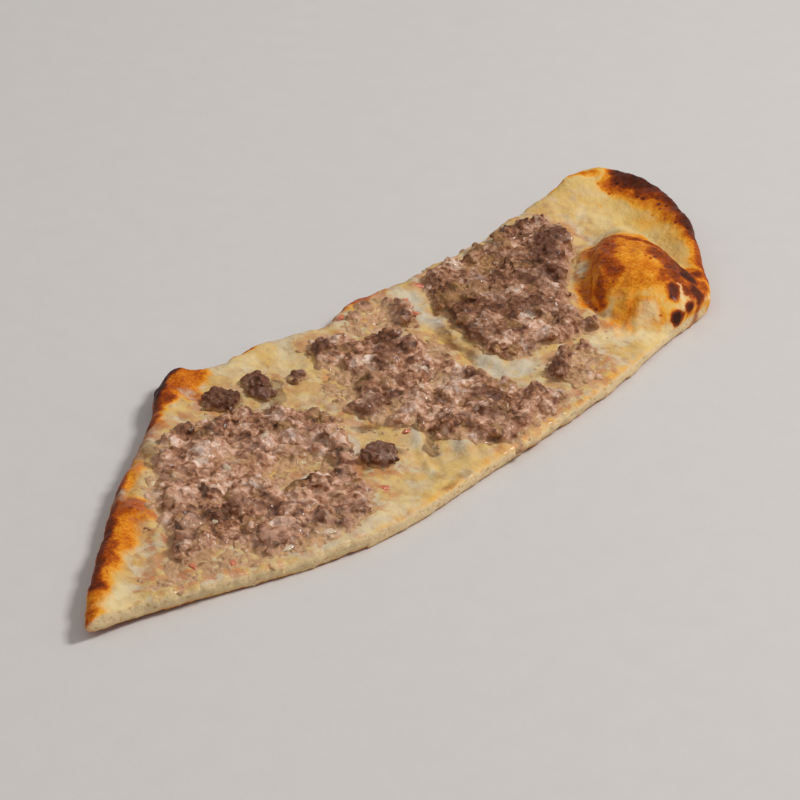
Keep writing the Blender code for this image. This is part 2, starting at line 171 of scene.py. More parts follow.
# Where the dough is wet with the juice and fat of the meat, pale and doughy, or milky with set fat and a
# painted
# bluish wet sheen: a path, half width and strength.
WET = (
    (((84, 7), (87, -2), (92, -7), (84, -11)), 9, 0.9),
    (((128.4, 42), (124.6, 34), (122.6, 27), (119.6, 15), (119, 7), (123, 6)), 4.6, 1.0),
    (((84, 28), (90, 32), (92, 37)), 6, 0.8),
    (((155, 8.1), (156.5, 12.5), (160, 12)), 4, 0.8),
    (((36, 24), (43, 29)), 3, 0.9),
)
PALE = (
    (((154.6, 1.6), (156.6, 2.2)), 2.8, 0.7),
    (((166.3, 2.4), (165.1, -0.7), (163.0, -1.0)), 1.4, 0.8),
    (((157.5, -2.8), (174, -0.8)), 1.5, 0.9),
    (((183, 40), (184, 35), (184.6, 29), (183.4, 24)), 3.2, 0.5),
    (((144, 5), (152, 2)), 4.5, 0.6),
    (((152, -1.5), (166, -3.2)), 2.4, 0.6),
    (((60, -12.6), (70, -10.4)), 3, 0.6),
    (((4, -2.2), (9, 0.6)), 3.4, 0.7),
    (((88, 36), (92, 41)), 4, 0.5),
    (((78, 42), (84, 44)), 4, 0.5),
)
# Pale set fat, coloured with a painted bluish sheen of the wet dough.
MILKY_SHEEN = (
    (((127.5, 42), (124.8, 37), (123.8, 32)), 4.4, 0.95),
    (((120.6, 14.6), (119, 9)), 3.4, 0.9),
    (((118, 8.5), (126, 6.2)), 3.2, 0.95),
    (((90, 6.6), (88, 3.8), (85.4, 0.4)), 1.6, 0.8),
    (((76.8, 9.4), (74.6, 6.8)), 2.2, 0.95),
    (((94, -2.6), (91.6, -5.4)), 2.4, 0.7),
    (((45, -12.2), (62, -12)), 2.6, 0.5),
    (((108, 42), (112, 44)), 2.4, 0.5),
)
# Where the juice of the meat has run or its finest bits are smeared, deep brown where the strength is over 1,
# with painted shadow where the right patch shades the trough and partly round the lone crumbles; and where
# loose grains lie.
JUICE_AND_SHADE = (
    (((90.6, 2.4), (88.2, -0.4), (86.2, -2.4)), 2.2, 1.6),
    (((82, -6.8), (80.6, -9.6)), 2.2, 1.2),
    (((82, 35), (80.2, 32.6), (77.6, 29.6)), 3.4, 2.0),
    (((41, 27.5), (45, 31)), 2.8, 1.6),
    (((79, 36.4), (81.4, 36)), 2.0, 1.4),
    (((67.4, 35.4), (70.4, 33.6), (73.6, 36)), 2.8, 1.5),
    (((46.4, 33.4), (44.4, 31)), 2.6, 1.4),
    # Painted shadow that the right patch casts into the trough beside it.
    (((119.6, 15.5), (120.4, 21), (122, 28), (125, 33)), 2.8, 1.4),
    (((81.6, 13), (85, 10.6)), 2.2, 1.4),
    (((86, -11), (79, -12.5)), 2.4, 1.25),
    (((74.5, 1.5), (80, 5.5), (81, 1)), 2.6, 1.3),
    (((79, -0.5), (75, -4)), 3.0, 0.9),
    (((90, 8), (86, 10.5)), 2.4, 0.8),
    (((46.9, 33.8), (50, 35.5)), 3.0, 0.9),
    (((72.5, 33.5), (77, 36.5), (76, 32)), 4.0, 0.9),
    (((66, 28), (71, 30)), 4.0, 0.9),
    (((28, 25), (31, 23)), 2.6, 0.8),
    (((96, -1), (91.5, -5.5), (89.5, -9)), 1.5, 0.7),
    (((79.5, -2.5), (74, -2)), 2.4, 0.8),
    # More painted shadow in the trough beside the right patch.
    (((122.5, 30), (119, 22), (118.8, 18)), 3.6, 1.0),
    (((12, -4), (34, -10.5)), 3.4, 0.8),
    (((150, 46), (172, 47), (185, 43)), 8, 0.42),
    (((66, 42), (67.5, 39.5)), 2.6, 0.9),
    (((38, 31), (47, 35.5)), 3.5, 0.6),
)
STREWN = (
    (((11, -1.5), (20, 3), (26, 9)), 4.5, 0.8),
    (((10, -3.6), (24, -7), (38, -11)), 3.6, 0.8),
    (((66.4, 38), (67.6, 34)), 2.4, 0.7),
    (((75.5, 1), (82, 2.4)), 3.2, 0.6),
    (((120.6, 28), (118.8, 18)), 3.2, 0.8),
    (((82, 12), (82, 22)), 3, 0.5),
    (((88, 33), (92, 37)), 3, 0.45),
)
# Ridges and hollows of the bare dough: a path, half width and height in millimetres.
RIDGES = (
    (((166, 25.5), (159, 20.6), (154.2, 15.6), (151.6, 10)), 1.5, -0.8),
    (((164, 21), (158.8, 16.6), (155.6, 12.4)), 2.4, 0.5),
    (((91, 6), (88.4, 3), (84.6, -1.6)), 2.2, 0.75),
    (((91, 2.4), (88.2, -1), (84.4, -5), (81.4, -9)), 1.8, -0.6),
    (((95, -1.5), (93, -4), (90.4, -8.4)), 2.6, 0.8),
    (((83, -5), (80, -10)), 1.8, 0.6),
    (((98, -3), (96, -9)), 1.2, -0.4),
    (((81, 4), (82, -1)), 1.4, 0.5),
    (((116.5, 22), (121, 31), (124.5, 36)), 1.6, 0.35),
    (((126.5, 32), (131.5, 38)), 1.5, -0.5),
    (((119, 10), (120.5, 24)), 2.6, -0.5),
    (((168, 33), (178, 36.5), (186, 33)), 4.5, -0.4),
    (((30, 22), (36, 25.8)), 1.7, -0.8),
    (((84, 29), (92, 32)), 2.5, 0.4),
)
# How the meat looks from place to place, browned, pink, or soaked in butter: a path, half width and strength.
# Two of the browned strokes are painted shade along clump edges.
BROWNED_AND_SHADED_MEAT = (
    (((23.3, 7.3), (26.8, 10.3)), 2.6, 0.7),
    (((26.8, 3.8), (31.8, 5.3)), 2.0, 0.5),
    (((36.8, 6.8), (43.8, 4.8), (49.8, 0.8), (54.8, -2.2)), 2.0, 0.7),
    (((58.8, -5.7), (61.8, -9.2)), 2.0, 0.35),
    (((32.8, 23.3), (35.8, 24.3)), 2.4, 0.3),
    (((50.8, 29.3), (55.8, 29.3)), 2.6, 0.35),
    (((66.8, 15.3), (70.8, 12.3), (73.8, 15.3)), 3.4, 0.6),
    (((62.8, 25.3), (69.8, 24.3)), 3.0, 0.5),
    # Browning, and painted shade under the clump edges along this ridge.
    (((80.3, 12.3), (85.8, 14.3), (91.8, 14.8)), 3.4, 1.0),
    (((92.6, 37.4), (97.4, 36.8)), 2.8, 0.9),
    (((99.8, 24.3), (104.8, 27.3), (109.8, 28.3)), 4.0, 0.7),
    (((91.8, -7.2), (95.8, -10.7)), 3.0, 0.9),
    (((106.8, 17.3), (111.3, 10.3)), 2.6, 0.6),
    (((100.8, -0.7), (105.8, -4.7)), 2.6, 0.6),
    (((123.8, -1.2), (126.8, -0.2)), 3.4, 0.8),
    # Painted shade on the left side of the right patch, which is turned away from the light.
    (((124.8, 31.3), (121.3, 23.3), (120.3, 16.3)), 2.4, 0.8),
    (((125.8, 22.3), (128.8, 20.3)), 3.2, 0.6),
    (((127.8, 7.9), (131.3, 9.3)), 2.8, 0.9),
    (((137.8, 24.3), (141.8, 18.8), (144.8, 14.3)), 3.6, 0.4),
    (((105, 7), (110, 2)), 4.0, 0.45),
    (((148.8, 28.3), (155.8, 25.7)), 3.2, 0.8),
    (((160.3, 33.3), (164.8, 36.3), (168.8, 35.8)), 4.2, 1.0),
    (((134.8, 6.3), (142.8, 5.3)), 2.4, 0.5),
)
PINK_MEAT = (
    (((37.5, -5.9), (42.5, -5.8)), 3, 1.0),
    (((93, 34), (95, 33.4)), 2.2, 0.8),
    (((42.8, -7.6), (50.8, -7.4)), 4, 0.9),
    (((66, 0.4), (68.4, 3.4)), 3.4, 0.9),
    (((40.6, 24.4), (46.2, 26.4)), 3.6, 0.7),
    (((62.6, 12.6), (66.8, 15.4)), 3.4, 0.8),
    (((93.4, 27), (90, 24)), 3.2, 0.8),
    (((17.1, -3.6), (24.1, -5.6), (32.1, -7.6)), 5, 0.8),
    (((30.1, 6), (33.1, 8.4)), 2.4, 0.8),
    (((34.1, -4.6), (44.1, -5.6), (56.1, -7.6)), 4.5, 0.75),
    (((54.1, 1.4), (58.1, -0.1)), 2.6, 0.9),
    (((38.1, 15.4), (44.1, 22.4)), 4, 0.5),
    (((58.1, 21.4), (66.1, 20.4)), 4, 0.4),
    (((86.1, 7.9), (93.1, 10.4), (99.1, 12)), 3.4, 0.8),
    (((96.1, 2.4), (100.1, 4.4)), 3.4, 0.7),
    (((106.1, 37.4), (111.1, 39.4), (116.1, 35.4)), 5, 0.8),
    (((102.1, -6.6), (112.1, -7.1)), 4, 0.5),
    (((136.1, 14.4), (140.1, 10.4)), 3, 0.4),
    (((131.1, -3.6), (135.1, -0.6)), 3, 0.6),
)
BUTTERED_MEAT = (
    (((60, 7.2), (64, 12.2)), 4.5, 1.0),
    (((55, 16.2), (51, 20.2)), 3.5, 0.7),
    (((131, 35.2), (136, 32.2)), 5, 0.8),
    (((145, 39.2), (155, 41.2)), 5, 0.7),
    (((94, 23.2), (99, 19.2)), 4.5, 0.7),
    (((73, 23.2), (77, 20.2)), 4, 0.5),
    (((111, 9.2), (114, 3.2)), 3.5, 0.6),
    (((123, -4.3), (126, -5.3)), 3, 0.9),
)
# Where the meat is heaped up in a clump: a path, half width and height in millimetres.
CLUMPS = (
    (((162.8, 35.2), (168.3, 37.2)), 5.0, 1.5),
    (((82.8, 14.2), (90.8, 16.7)), 3.4, 1.3),
    (((94.3, 36.7), (97.8, 35.8)), 3.6, 1.2),
    (((102.8, 27.2), (109.8, 28.2)), 4.0, 0.9),
    (((93.8, -6.8), (96.8, -9.3)), 3.4, 0.9),
    (((124.8, -0.8), (127.8, 0.6)), 3.6, 0.6),
    (((38.8, 7.7), (50.8, 1.8)), 2.6, 0.8),
    (((68.8, 15.2), (74.8, 15.2)), 4.0, 0.7),
    (((139.8, 23.2), (143.8, 17.2)), 4.0, 0.8),
    (((149.8, 29.2), (155.8, 27.2)), 3.6, 0.8),
    (((57.8, -4.8), (62.8, -7.8)), 3.0, 0.7),
    (((25.8, 7.2), (28.8, 11.2)), 3.0, 0.7),
    (((137.8, 7.2), (143.8, 7.2)), 3.0, 0.6),
)
# Where the meat lies thin and the juicy dough shows between its grains: a path, half width and how thin.
THIN = (
    (((10, -4), (20, -5), (32, -5)), 9, 0.95),
    (((30, -9), (50, -10.5)), 4, 0.9),
    (((26, 8), (34, 20), (40, 26)), 4, 0.7),
    (((56, 9), (61.5, 9.4), (65, 8)), 5.4, 1.2),
    (((78, 26), (88, 22), (94, 30)), 5, 0.9),
    (((84, 11), (92, 12)), 4, 0.6),
    (((104, 12), (110, 16)), 4, 0.5),
    (((112, 36), (118, 40)), 6, 0.7),
    (((128, -3), (136, 2)), 4, 0.6),
)
# Bits of soft onion and fat, and of red pepper: place in the plan, length, width and turn in degrees.
ONIONS = (
    ((75.0, 7.4), 4.4, 2.4, 20),
    ((77.6, 10.6), 2.6, 1.6, 50),
    ((74.3, 28.1), 2.4, 1.5, 60),
    ((50.6, 16.4), 2.2, 1.2, 70),
    ((59.0, 5.0), 2.6, 1.6, 0),
    ((100.6, 13.5), 3.0, 1.6, 40),
    ((51, -9.3), 3.4, 1.5, -5),
    ((41.4, -7.9), 2.8, 1.5, -15),
    ((37, 6), 2.0, 1.2, 80),
    ((64, 20), 2.2, 1.3, 15),
    ((138, 17), 2.0, 1.2, 30),
)
PEPPERS = (
    ((123.8, 38.6), 3.4, 1.2, 25),
    ((122.6, 35.4), 2.6, 1.1, -50),
    ((110.4, 43.6), 2.2, 1.2, 20),
    ((69.9, -5.3), 2.2, 1.4, 0),
    ((133.4, 43), 2.6, 1.2, -30),
    ((24, -1.5), 2.0, 1.2, 60),
    ((87.4, 5), 1.6, 1.0, 0),
    ((30, -5.4), 1.8, 1.1, 20),
)


def linear(red, green, blue):
    """A colour as it looks on a screen, 0 to 255, in Blender's linear values."""
    shares = (value / 255 for value in (red, green, blue))
    return tuple(c / 12.92 if c <= 0.04045 else ((c + 0.055) / 1.055) ** 2.4 for c in shares)


def eased(share):
    """0 to 1, easing in and out."""
    share = np.clip(share, 0, 1)
    return share * share * (3 - 2 * share)


def distance_to(path, places):
    """How far each plan place is from a path."""
    path = np.array(path, float)
    best = np.full(len(places), np.inf)
    for start, end in zip(path, path[1:]):
        step = end - start
        share = np.clip(((places - start) @ step) / max(step @ step, 1e-9), 0, 1)
        best = np.minimum(best, np.hypot(*(places - start - share[:, None] * step).T))
    return best


def strongest(strokes, places):
    """The strongest of the strokes at each place, each fading to nothing at its edge."""
    best = np.zeros(len(places))
    for path, width, strength in strokes:
        best = np.maximum(best, strength * eased(1.35 * (1 - distance_to(path, places) / width)))
    return best


def summed(strokes, places):
    """All the strokes at each place, added up."""
    return sum(strength * eased(1 - distance_to(path, places) / width) for path, width, strength in strokes)


def fractal(points, size, octaves, seed):
    """Fractal noise, about -1 to 1, at points in metres, with features of this size in millimetres."""
    away = Vector((31.7 * seed, 17.3 * seed, 5.9 * seed))
    return np.array([noise.fractal(Vector(p) + away, 1.0, 2.0, octaves) for p in points / (size * MM)])


def wandering(points, size, octaves, seeds):
    """Fractal noise for x and y at each point, which gives what is painted uneven edges."""
    return np.stack([fractal(points, size, octaves, seed) for seed in seeds], axis=1)


def read(mesh, kind):
    """Vertex places ("co") or vertex normals ("normal") of a mesh as an array."""
    source, field = (mesh.vertices, "co") if kind == "co" else (mesh.vertex_normals, "vector")
    values = np.empty(len(source) * 3, np.float32)
    source.foreach_get(field, values)
    return values.reshape(-1, 3).astype(float)


def write(mesh, points):
    """Puts the vertices of a mesh at these points."""
    mesh.vertices.foreach_set("co", points.astype(np.float32).ravel())
    mesh.update()


def store(mesh, name, values):
    """Keeps a number for each vertex, for the materials and the grain trees to read."""
    layer = mesh.attributes.get(name) or mesh.attributes.new(name, "FLOAT", "POINT")
    layer.data.foreach_set("value", np.asarray(values, np.float32))


def plan_of(points):
    """The plan places, in millimetres, of points in the frame."""
    return (points[:, :2] - CAD_LOW[:2]) / MM + PLAN_CORNER


def add_piece(name, data):
    """A new object in the scene that holds a mesh, a light or a camera."""
    piece = bpy.data.objects.new(name, data)
    bpy.context.scene.collection.objects.link(piece)
    return piece


def copy_of_cad(name, *nodes):
    """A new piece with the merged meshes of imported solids, its triangles joined to quads."""
    shape = bmesh.new()
    for node in nodes:
        shape.from_mesh(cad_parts[node].data)
    bmesh.ops.remove_doubles(shape, verts=shape.verts, dist=0.002 * MM)
    turn = math.radians(40)
    bmesh.ops.join_triangles(shape, faces=shape.faces, angle_face_threshold=turn, angle_shape_threshold=turn)
    mesh = bpy.data.meshes.new(name)
    shape.to_mesh(mesh)
    shape.free()
    return add_piece(name, mesh)


def crease_cut_side(mesh):
    """Keeps the edges of the cut side crisp when the dough is subdivided."""
    shape = bmesh.new()
    shape.from_mesh(mesh)
    crease = shape.edges.layers.float.new("crease_edge")
    for edge in shape.edges:
        beside_cut = any(face.normal.y < -0.5 and abs(face.normal.z) < 0.6 for face in edge.link_faces)
        if beside_cut and edge.calc_face_angle(0) > math.radians(45):
            edge[crease] = 0.9
    shape.to_mesh(mesh)
    shape.free()


def modify(piece, kind, **settings):
    """Adds a modifier with its settings."""
    modifier = piece.modifiers.new(kind.lower(), kind)
    for name, value in settings.items():
        setattr(modifier, name, value)


def settle(piece):
    """Makes a piece's modifiers part of its mesh."""
    graph = bpy.context.evaluated_depsgraph_get()
    mesh = bpy.data.meshes.new_from_object(piece.evaluated_get(graph))
    piece.modifiers.clear()
    plain = piece.data
    piece.data = mesh
    bpy.data.meshes.remove(plain)
    mesh.name = piece.name


def dress(piece, material, slot, *nodes):
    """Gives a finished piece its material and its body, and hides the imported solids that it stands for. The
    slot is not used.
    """
    piece.data.materials.clear()
    piece.data.materials.append(material)
    piece.data.shade_smooth()
    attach(piece, "root")
    if nodes:
        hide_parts(*nodes)


class Value:
    """An output of a node graph. Python's operators on it add Math nodes."""

    def __init__(self, graph, socket):
        self.graph = graph
        self.socket = socket

    def __add__(self, other):
        return self.graph.maths("ADD", self, other)

    def __radd__(self, other):
        return self.graph.maths("ADD", other, self)

    def __sub__(self, other):
        return self.graph.maths("SUBTRACT", self, other)

    def __rsub__(self, other):
        return self.graph.maths("SUBTRACT", other, self)

    def __mul__(self, other):
        return self.graph.maths("MULTIPLY", self, other)

    def __rmul__(self, other):
        return self.graph.maths("MULTIPLY", other, self)

    def __truediv__(self, other):
        return self.graph.maths("DIVIDE", self, other)

    def __rtruediv__(self, other):
        return self.graph.maths("DIVIDE", other, self)

    def clamped(self):
        """The same value, kept from 0 to 1."""
        return self.graph.maths("ADD", self, 0.0, use_clamp=True)

    def between(self, low, high):
        """0 below low, 1 above high and eased in between."""
        settings = {"interpolation_type": "SMOOTHSTEP"}
        values = {"Value": self, "From Min": low, "From Max": high}
        return self.graph.get("ShaderNodeMapRange", "Result", settings, values)


class Graph:
    """A node tree that is written as Python expressions."""

    def __init__(self, tree):
        self.tree = tree
        tree.nodes.clear()

    def add(self, kind, settings=None, values=None):
        """A new node: its settings first, then the values or links of its sockets."""
        node = self.tree.nodes.new(kind)
        for name, setting in (settings or {}).items():
            if name == "stops":
                self.set_stops(node.color_ramp, setting)
            else:
                setattr(node, name, setting)
        for name, value in (values or {}).items():
            for single in value if isinstance(value, list) else [value]:
                if isinstance(single, Value):
                    self.tree.links.new(single.socket, node.inputs[name])
                else:
                    node.inputs[name].default_value = single
        return node

    def get(self, kind, output, settings=None, values=None):
        """One output of a new node."""
        return Value(self, self.add(kind, settings, values).outputs[output])

    @staticmethod
    def set_stops(ramp, stops):
        """Gives a colour ramp its places and colours."""
        while len(ramp.elements) < len(stops):
            ramp.elements.new(0.5)
        for element, (place, colour) in zip(ramp.elements, stops):
            element.position = place
            element.color = (*colour, 1)

    def maths(self, operation, first, second, use_clamp=False):
        """Arithmetic on two numbers."""
        settings = {"operation": operation, "use_clamp": use_clamp}
        return self.get("ShaderNodeMath", 0, settings, {0: first, 1: second})

    def vector(self, operation, first, second):
        """Arithmetic on two vectors."""
        return self.get("ShaderNodeVectorMath", 0, {"operation": operation}, {0: first, 1: second})

    def mix(self, share, first, second):
        """Two colours mixed. The node's sockets for colours are numbers 6 and 7, and its output is 2."""
        first, second = (c if isinstance(c, Value) else (*c, 1) for c in (first, second))
        return self.get("ShaderNodeMix", 2, {"data_type": "RGBA"}, {0: share, 6: first, 7: second})

    def ramp(self, share, stops):
        """A colour from a ramp."""
        return self.get("ShaderNodeValToRGB", "Color", {"stops": stops}, {"Fac": share})

    def attribute(self, name):
        """The number that store keeps for each vertex under this name."""
        return self.get("ShaderNodeAttribute", "Fac", {"attribute_name": name})

    def place(self):
        """Object coordinates."""
        return self.get("ShaderNodeTexCoord", "Object")

    def noise(self, size, detail=3, at=None):
        """Noise from 0 to 1, with features of this size in millimetres."""
        values = {"Vector": at or self.place(), "Scale": 1 / (size * MM), "Detail": detail}
        return self.get("ShaderNodeTexNoise", "Fac", None, values)

    def warped(self, size, amount):
        """Object coordinates pushed about by noise, both in millimetres."""
        values = {"Vector": self.place(), "Scale": 1 / (size * MM), "Detail": 2}
        push = self.get("ShaderNodeTexNoise", "Color", None, values)
        centred = self.vector("SUBTRACT", push, (0.5, 0.5, 0.5))
        return self.vector("ADD", self.place(), self.vector("MULTIPLY", centred, (amount * MM,) * 3))

    def cells(self, size, at):
        """A random number for each cell of about this size in millimetres."""
        values = {"Vector": at, "Scale": 1 / (size * MM)}
        colour = self.get("ShaderNodeTexVoronoi", "Color", None, values)
        return self.get("ShaderNodeSeparateColor", "Red", None, {"Color": colour})

    def seams(self, size, width, at):
        """1 along the seams between cells of about this size in millimetres, 0 past this share of it."""
        values = {"Vector": at, "Scale": 1 / (size * MM)}
        away = self.get("ShaderNodeTexVoronoi", "Distance", {"feature": "DISTANCE_TO_EDGE"}, values)
        return 1.0 - away.between(0.0, width)

    def spots(self, size, share):
        """1 in the middle of this share of the cells of this size in millimetres, fading to 0 round it."""
        values = {"Vector": self.place(), "Scale": 1 / (size * MM)}
        cells = self.add("ShaderNodeTexVoronoi", None, values)
        colour = Value(self, cells.outputs["Color"])
        drawn = self.get("ShaderNodeSeparateColor", "Red", None, {"Color": colour})
        near = 1.0 - Value(self, cells.outputs["Distance"]).between(0.12, 0.42)
        return near * drawn.between(1.0 - share, 1.15 - share)

    def bump(self, height, depth, strength):
        """A normal from a height of 0 to 1, its depth in millimetres."""
        values = {"Height": height, "Distance": depth * MM, "Strength": strength}
        return self.get("ShaderNodeBump", "Normal", None, values)


def new_material(name, build):
    """A material whose surface is what build gives for its shader's sockets."""
    material = bpy.data.materials.new(name)
    material.use_nodes = True
    graph = Graph(material.node_tree)
    shader = graph.get("ShaderNodeBsdfPrincipled", "BSDF", None, build(graph))
    graph.add("ShaderNodeOutputMaterial", None, {"Surface": shader})
    return material


# Colours of the dough from unbaked, at 0, to charred, at 1.
CRUST_RAMP = (
    (0.0, linear(216, 195, 142)),
    (0.1, linear(214, 179, 110)),
    (0.2, linear(222, 174, 88)),
    (0.32, linear(232, 158, 46)),
    (0.44, linear(212, 122, 18)),
    (0.56, linear(174, 80, 6)),
    (0.68, linear(130, 52, 8)),
    (0.82, linear(92, 36, 12)),
    (1.0, linear(54, 24, 14)),
)


def dough_finish(look):
    """Baked dough: pale to charred by its browning, glossy where wet with fat, open crumb on the cut side
    with painted shade in its hollows.
    """

    def build(graph):
        wide, fine = graph.noise(6), graph.noise(1.4, detail=4)
        browning = graph.attribute("browning")
        broken = graph.noise(2.4, detail=5) - 0.5
        changing = browning.between(0.22, 0.36) * (1.0 - browning.between(0.8, 0.95))
        mottle = (wide - 0.5) * 0.26 + (fine - 0.5) * 0.2
        brown = browning * (1.0 + mottle) + mottle * 0.2 + broken * changing * 0.3
        toasted = graph.noise(1.6, detail=2).between(0.68, 0.76) * graph.noise(9).between(0.45, 0.6)
        brown = brown + toasted * 0.16
        speckle = (graph.noise(0.55, detail=3) - 0.5) * browning.between(0.25, 0.4)
        brown = brown + speckle * 0.36 + graph.spots(1.5, graph.attribute("freckles") * 0.5) * 0.22
        colour = graph.ramp(brown, CRUST_RAMP)
        # This holds meat juice, and painted shadow beside the right patch and partly round the lone crumbles.
        soaked_and_shaded = graph.attribute("stain")
        stained_and_shaded = soaked_and_shaded.clamped()
        stain = stained_and_shaded * (0.3 + graph.noise(3.5, detail=5).between(0.36, 0.66) * 0.7)
        colour = graph.mix(stain * 0.68, colour, look.juice_and_shade_colour)
        # Spots of set fat, coloured with a painted bluish wet sheen.
        spilt = stained_and_shaded * graph.noise(4, detail=5, at=graph.warped(6, 4)).between(0.44, 0.62)
        colour = graph.mix(spilt * 0.6, colour, look.milky_sheen_colour)
        smear = stained_and_shaded * graph.noise(1.7, detail=6, at=graph.warped(4, 2)).between(0.48, 0.68)
        colour = graph.mix(smear * 0.7, colour, look.smear_colour)
        patchy = graph.noise(2.6, detail=4, at=graph.warped(4, 2))
        # Deep brown where juice has baked in, and painted shadow beside the right patch.
        deep = soaked_and_shaded.between(0.95, 1.5) * (0.5 + patchy.between(0.35, 0.55) * 0.5)
        colour = graph.mix(deep * 0.9, colour, look.deep_juice_and_shade_colour)
        blush = graph.attribute("blush") * (1.0 - deep) * patchy.between(0.46, 0.58)
        colour = graph.mix(blush * 0.9, colour, look.blush_colour)
        clouds = graph.noise(5, detail=4, at=graph.warped(8, 4)).between(0.35, 0.7)
        unbaked = 1.0 - brown.between(0.22, 0.36)
        colour = graph.mix(clouds * unbaked * 0.3, colour, look.pale_colour)
        pale = graph.attribute("pale") * graph.noise(2.5).between(0.25, 0.55)
        colour = graph.mix(pale * (1.0 - brown.between(0.42, 0.6)), colour, look.pale_colour)
        # Set fat with a painted bluish wet sheen.
        milky = graph.attribute("milky") * graph.noise(3.5, detail=4).between(0.25, 0.5)
        colour = graph.mix(milky * 0.85, colour, look.milky_sheen_colour)
        crumb = graph.attribute("crumb")
        holes = graph.noise(0.9, detail=3, at=graph.warped(2, 0.8))
        # Darker where the crumb is bumped down: painted shade in its hollows.
        crumb_colour = graph.mix(holes.between(0.3, 0.45), linear(196, 156, 104), look.crumb_colour)
        colour = graph.mix(crumb, colour, crumb_colour)
        wet = graph.attribute("wet")
        greasy = graph.maths("MAXIMUM", wet, browning.between(0.3, 0.4) * graph.attribute("freckles") * 0.9)
        beads = graph.noise(1.1, detail=3).between(0.47, 0.58)
        height = graph.noise(2.2, detail=5) + holes * 0.6 + graph.noise(0.5, detail=2) * 0.3
        return {
            "Base Color": colour,
            "Roughness": (0.62 - wet * 0.34 + (fine - 0.5) * 0.3).clamped(),
            "Specular IOR Level": 0.1,
            "Coat Weight": (greasy * 0.5 * beads).clamped(),
            "Coat Roughness": 0.16,
            "Subsurface Weight": 0.12,
            "Subsurface Radius": (0.8, 0.45, 0.2),
            "Subsurface Scale": 0.0012,
            "Normal": graph.bump(height, 0.5, 0.6),
        }

    return new_material("oven_baked", build)


# Colours of the grains of meat from the darkest to the palest.
MEAT_RAMP = (
    (0.0, linear(82, 46, 26)),
    (0.24, linear(126, 78, 46)),
    (0.42, linear(162, 110, 76)),
    (0.58, linear(190, 140, 108)),
    (0.76, linear(216, 174, 146)),
    (1.0, linear(238, 212, 194)),
)


def meat_finish(look):
    """Cooked minced meat: a tone of its own for each grain and clump, painted shade in the gaps, greasy on
    top.
    """

    def build(graph):
        at = graph.warped(2.5, 2.4)
        clump = graph.cells(4.5, at) - 0.5
        grain = graph.noise(1.7, detail=4, at=at) - 0.5
        shade = graph.noise(6, detail=2) - 0.5
        speck = graph.noise(0.7, detail=3) - 0.5
        seam = graph.seams(3.4, 0.14, at) * graph.noise(4).between(0.42, 0.58)
        tone = clump * 0.54 + grain * 1.6 + shade * 1.1 + speck * 0.8 - seam * 0.3 + 0.51
        colour = graph.ramp(tone, MEAT_RAMP)
        buttered = graph.noise(4, detail=3, at=at) + graph.attribute("buttered") * 0.22
        colour = graph.mix(buttered.between(0.54, 0.7) * 0.6, colour, look.tan_colour)
        mauve = graph.noise(3, detail=3).between(0.56, 0.66)
        colour = graph.mix(mauve * 0.4, colour, look.mauve_colour)
        pinkness = graph.attribute("pink")
        pink = pinkness * graph.noise(2.4, detail=3, at=at).between(0.36, 0.6)
        colour = graph.mix(pink * 0.6, colour, look.pink_colour)
        fat = graph.noise(1.6, detail=3, at=at) + pinkness * 0.05
        colour = graph.mix(fat.between(0.64, 0.76) * 0.55, colour, look.fat_colour)
        # Browned meat, and painted shade where a browned stroke follows a shaded clump edge.
        dark = (graph.attribute("dark") * (0.55 + graph.noise(3).between(0.3, 0.6) * 0.45)).clamped()
        colour = graph.mix(dark * 0.85, colour, look.browned_and_shade_colour)
        # Painted shade between the grains: the lower a point lies, the darker.
        colour = graph.mix(graph.attribute("gap") * 0.8, colour, look.gap_shade_colour)
        colour = graph.mix(graph.attribute("paste") * 0.75, colour, look.paste_colour)
        grease = graph.noise(1.0, detail=3).between(0.55, 0.63)
        height = graph.noise(0.8, detail=4) + graph.noise(0.35, detail=2) * 0.5 - seam * 0.6
        return {
            "Base Color": colour,
            "Roughness": (0.6 - grease * 0.3).clamped(),
            "Specular IOR Level": 0.28,
            "Coat Weight": (grease * 0.55).clamped(),
            "Coat Roughness": 0.16,
            "Subsurface Weight": 0.1,
            "Subsurface Radius": (0.9, 0.4, 0.25),
            "Subsurface Scale": 0.001,
            "Normal": graph.bump(height, 0.4, 0.75),
        }

    return new_material("cooked_mince", build)


def fat_finish(look):
    """Soft onion and melted fat: pale, a little see-through and very glossy."""

    def build(graph):
        colour = graph.mix(graph.noise(1.5).between(0.35, 0.65), look.fat_colour, linear(206, 178, 146))
        return {
            "Base Color": colour,
            "Roughness": 0.3,
            "Coat Weight": 0.8,
            "Coat Roughness": 0.08,
            "Subsurface Weight": 0.35,
            "Subsurface Radius": (0.9, 0.7, 0.5),
            "Subsurface Scale": 0.0012,
            "Normal": graph.bump(graph.noise(0.8), 0.2, 0.5),
        }

    return new_material("soft_fat", build)


def pepper_finish(look):
    """Small bits of red pepper and tomato."""

    def build(graph):
        colour = graph.mix(graph.noise(0.8).between(0.3, 0.7), look.pepper_colour, linear(186, 96, 60))
        return {
            "Base Color": colour,
            "Roughness": 0.35,
            "Coat Weight": 0.5,
            "Coat Roughness": 0.15,
            "Normal": graph.bump(graph.noise(0.7), 0.15, 0.5),
        }

    return new_material("red_pepper", build)


# The inputs of a grain tree. Spacing, the smallest and largest radius, Lumpiness and Lump Size are metres.
# Stretch and Flatness are shares of a grain's radius, Sink is how much of it lies under the surface, and
# Facets is how often its ball is subdivided.
GRAIN_INPUTS = {
    "Spacing": "NodeSocketFloat",
    "Smallest": "NodeSocketFloat",
    "Largest": "NodeSocketFloat",
    "Stretch": "NodeSocketFloat",
    "Flatness": "NodeSocketFloat",
    "Sink": "NodeSocketFloat",
    "Lumpiness": "NodeSocketFloat",
    "Lump Size": "NodeSocketFloat",
    "Facets": "NodeSocketInt",
    "Seed": "NodeSocketInt",
    "Material": "NodeSocketMaterial",
}


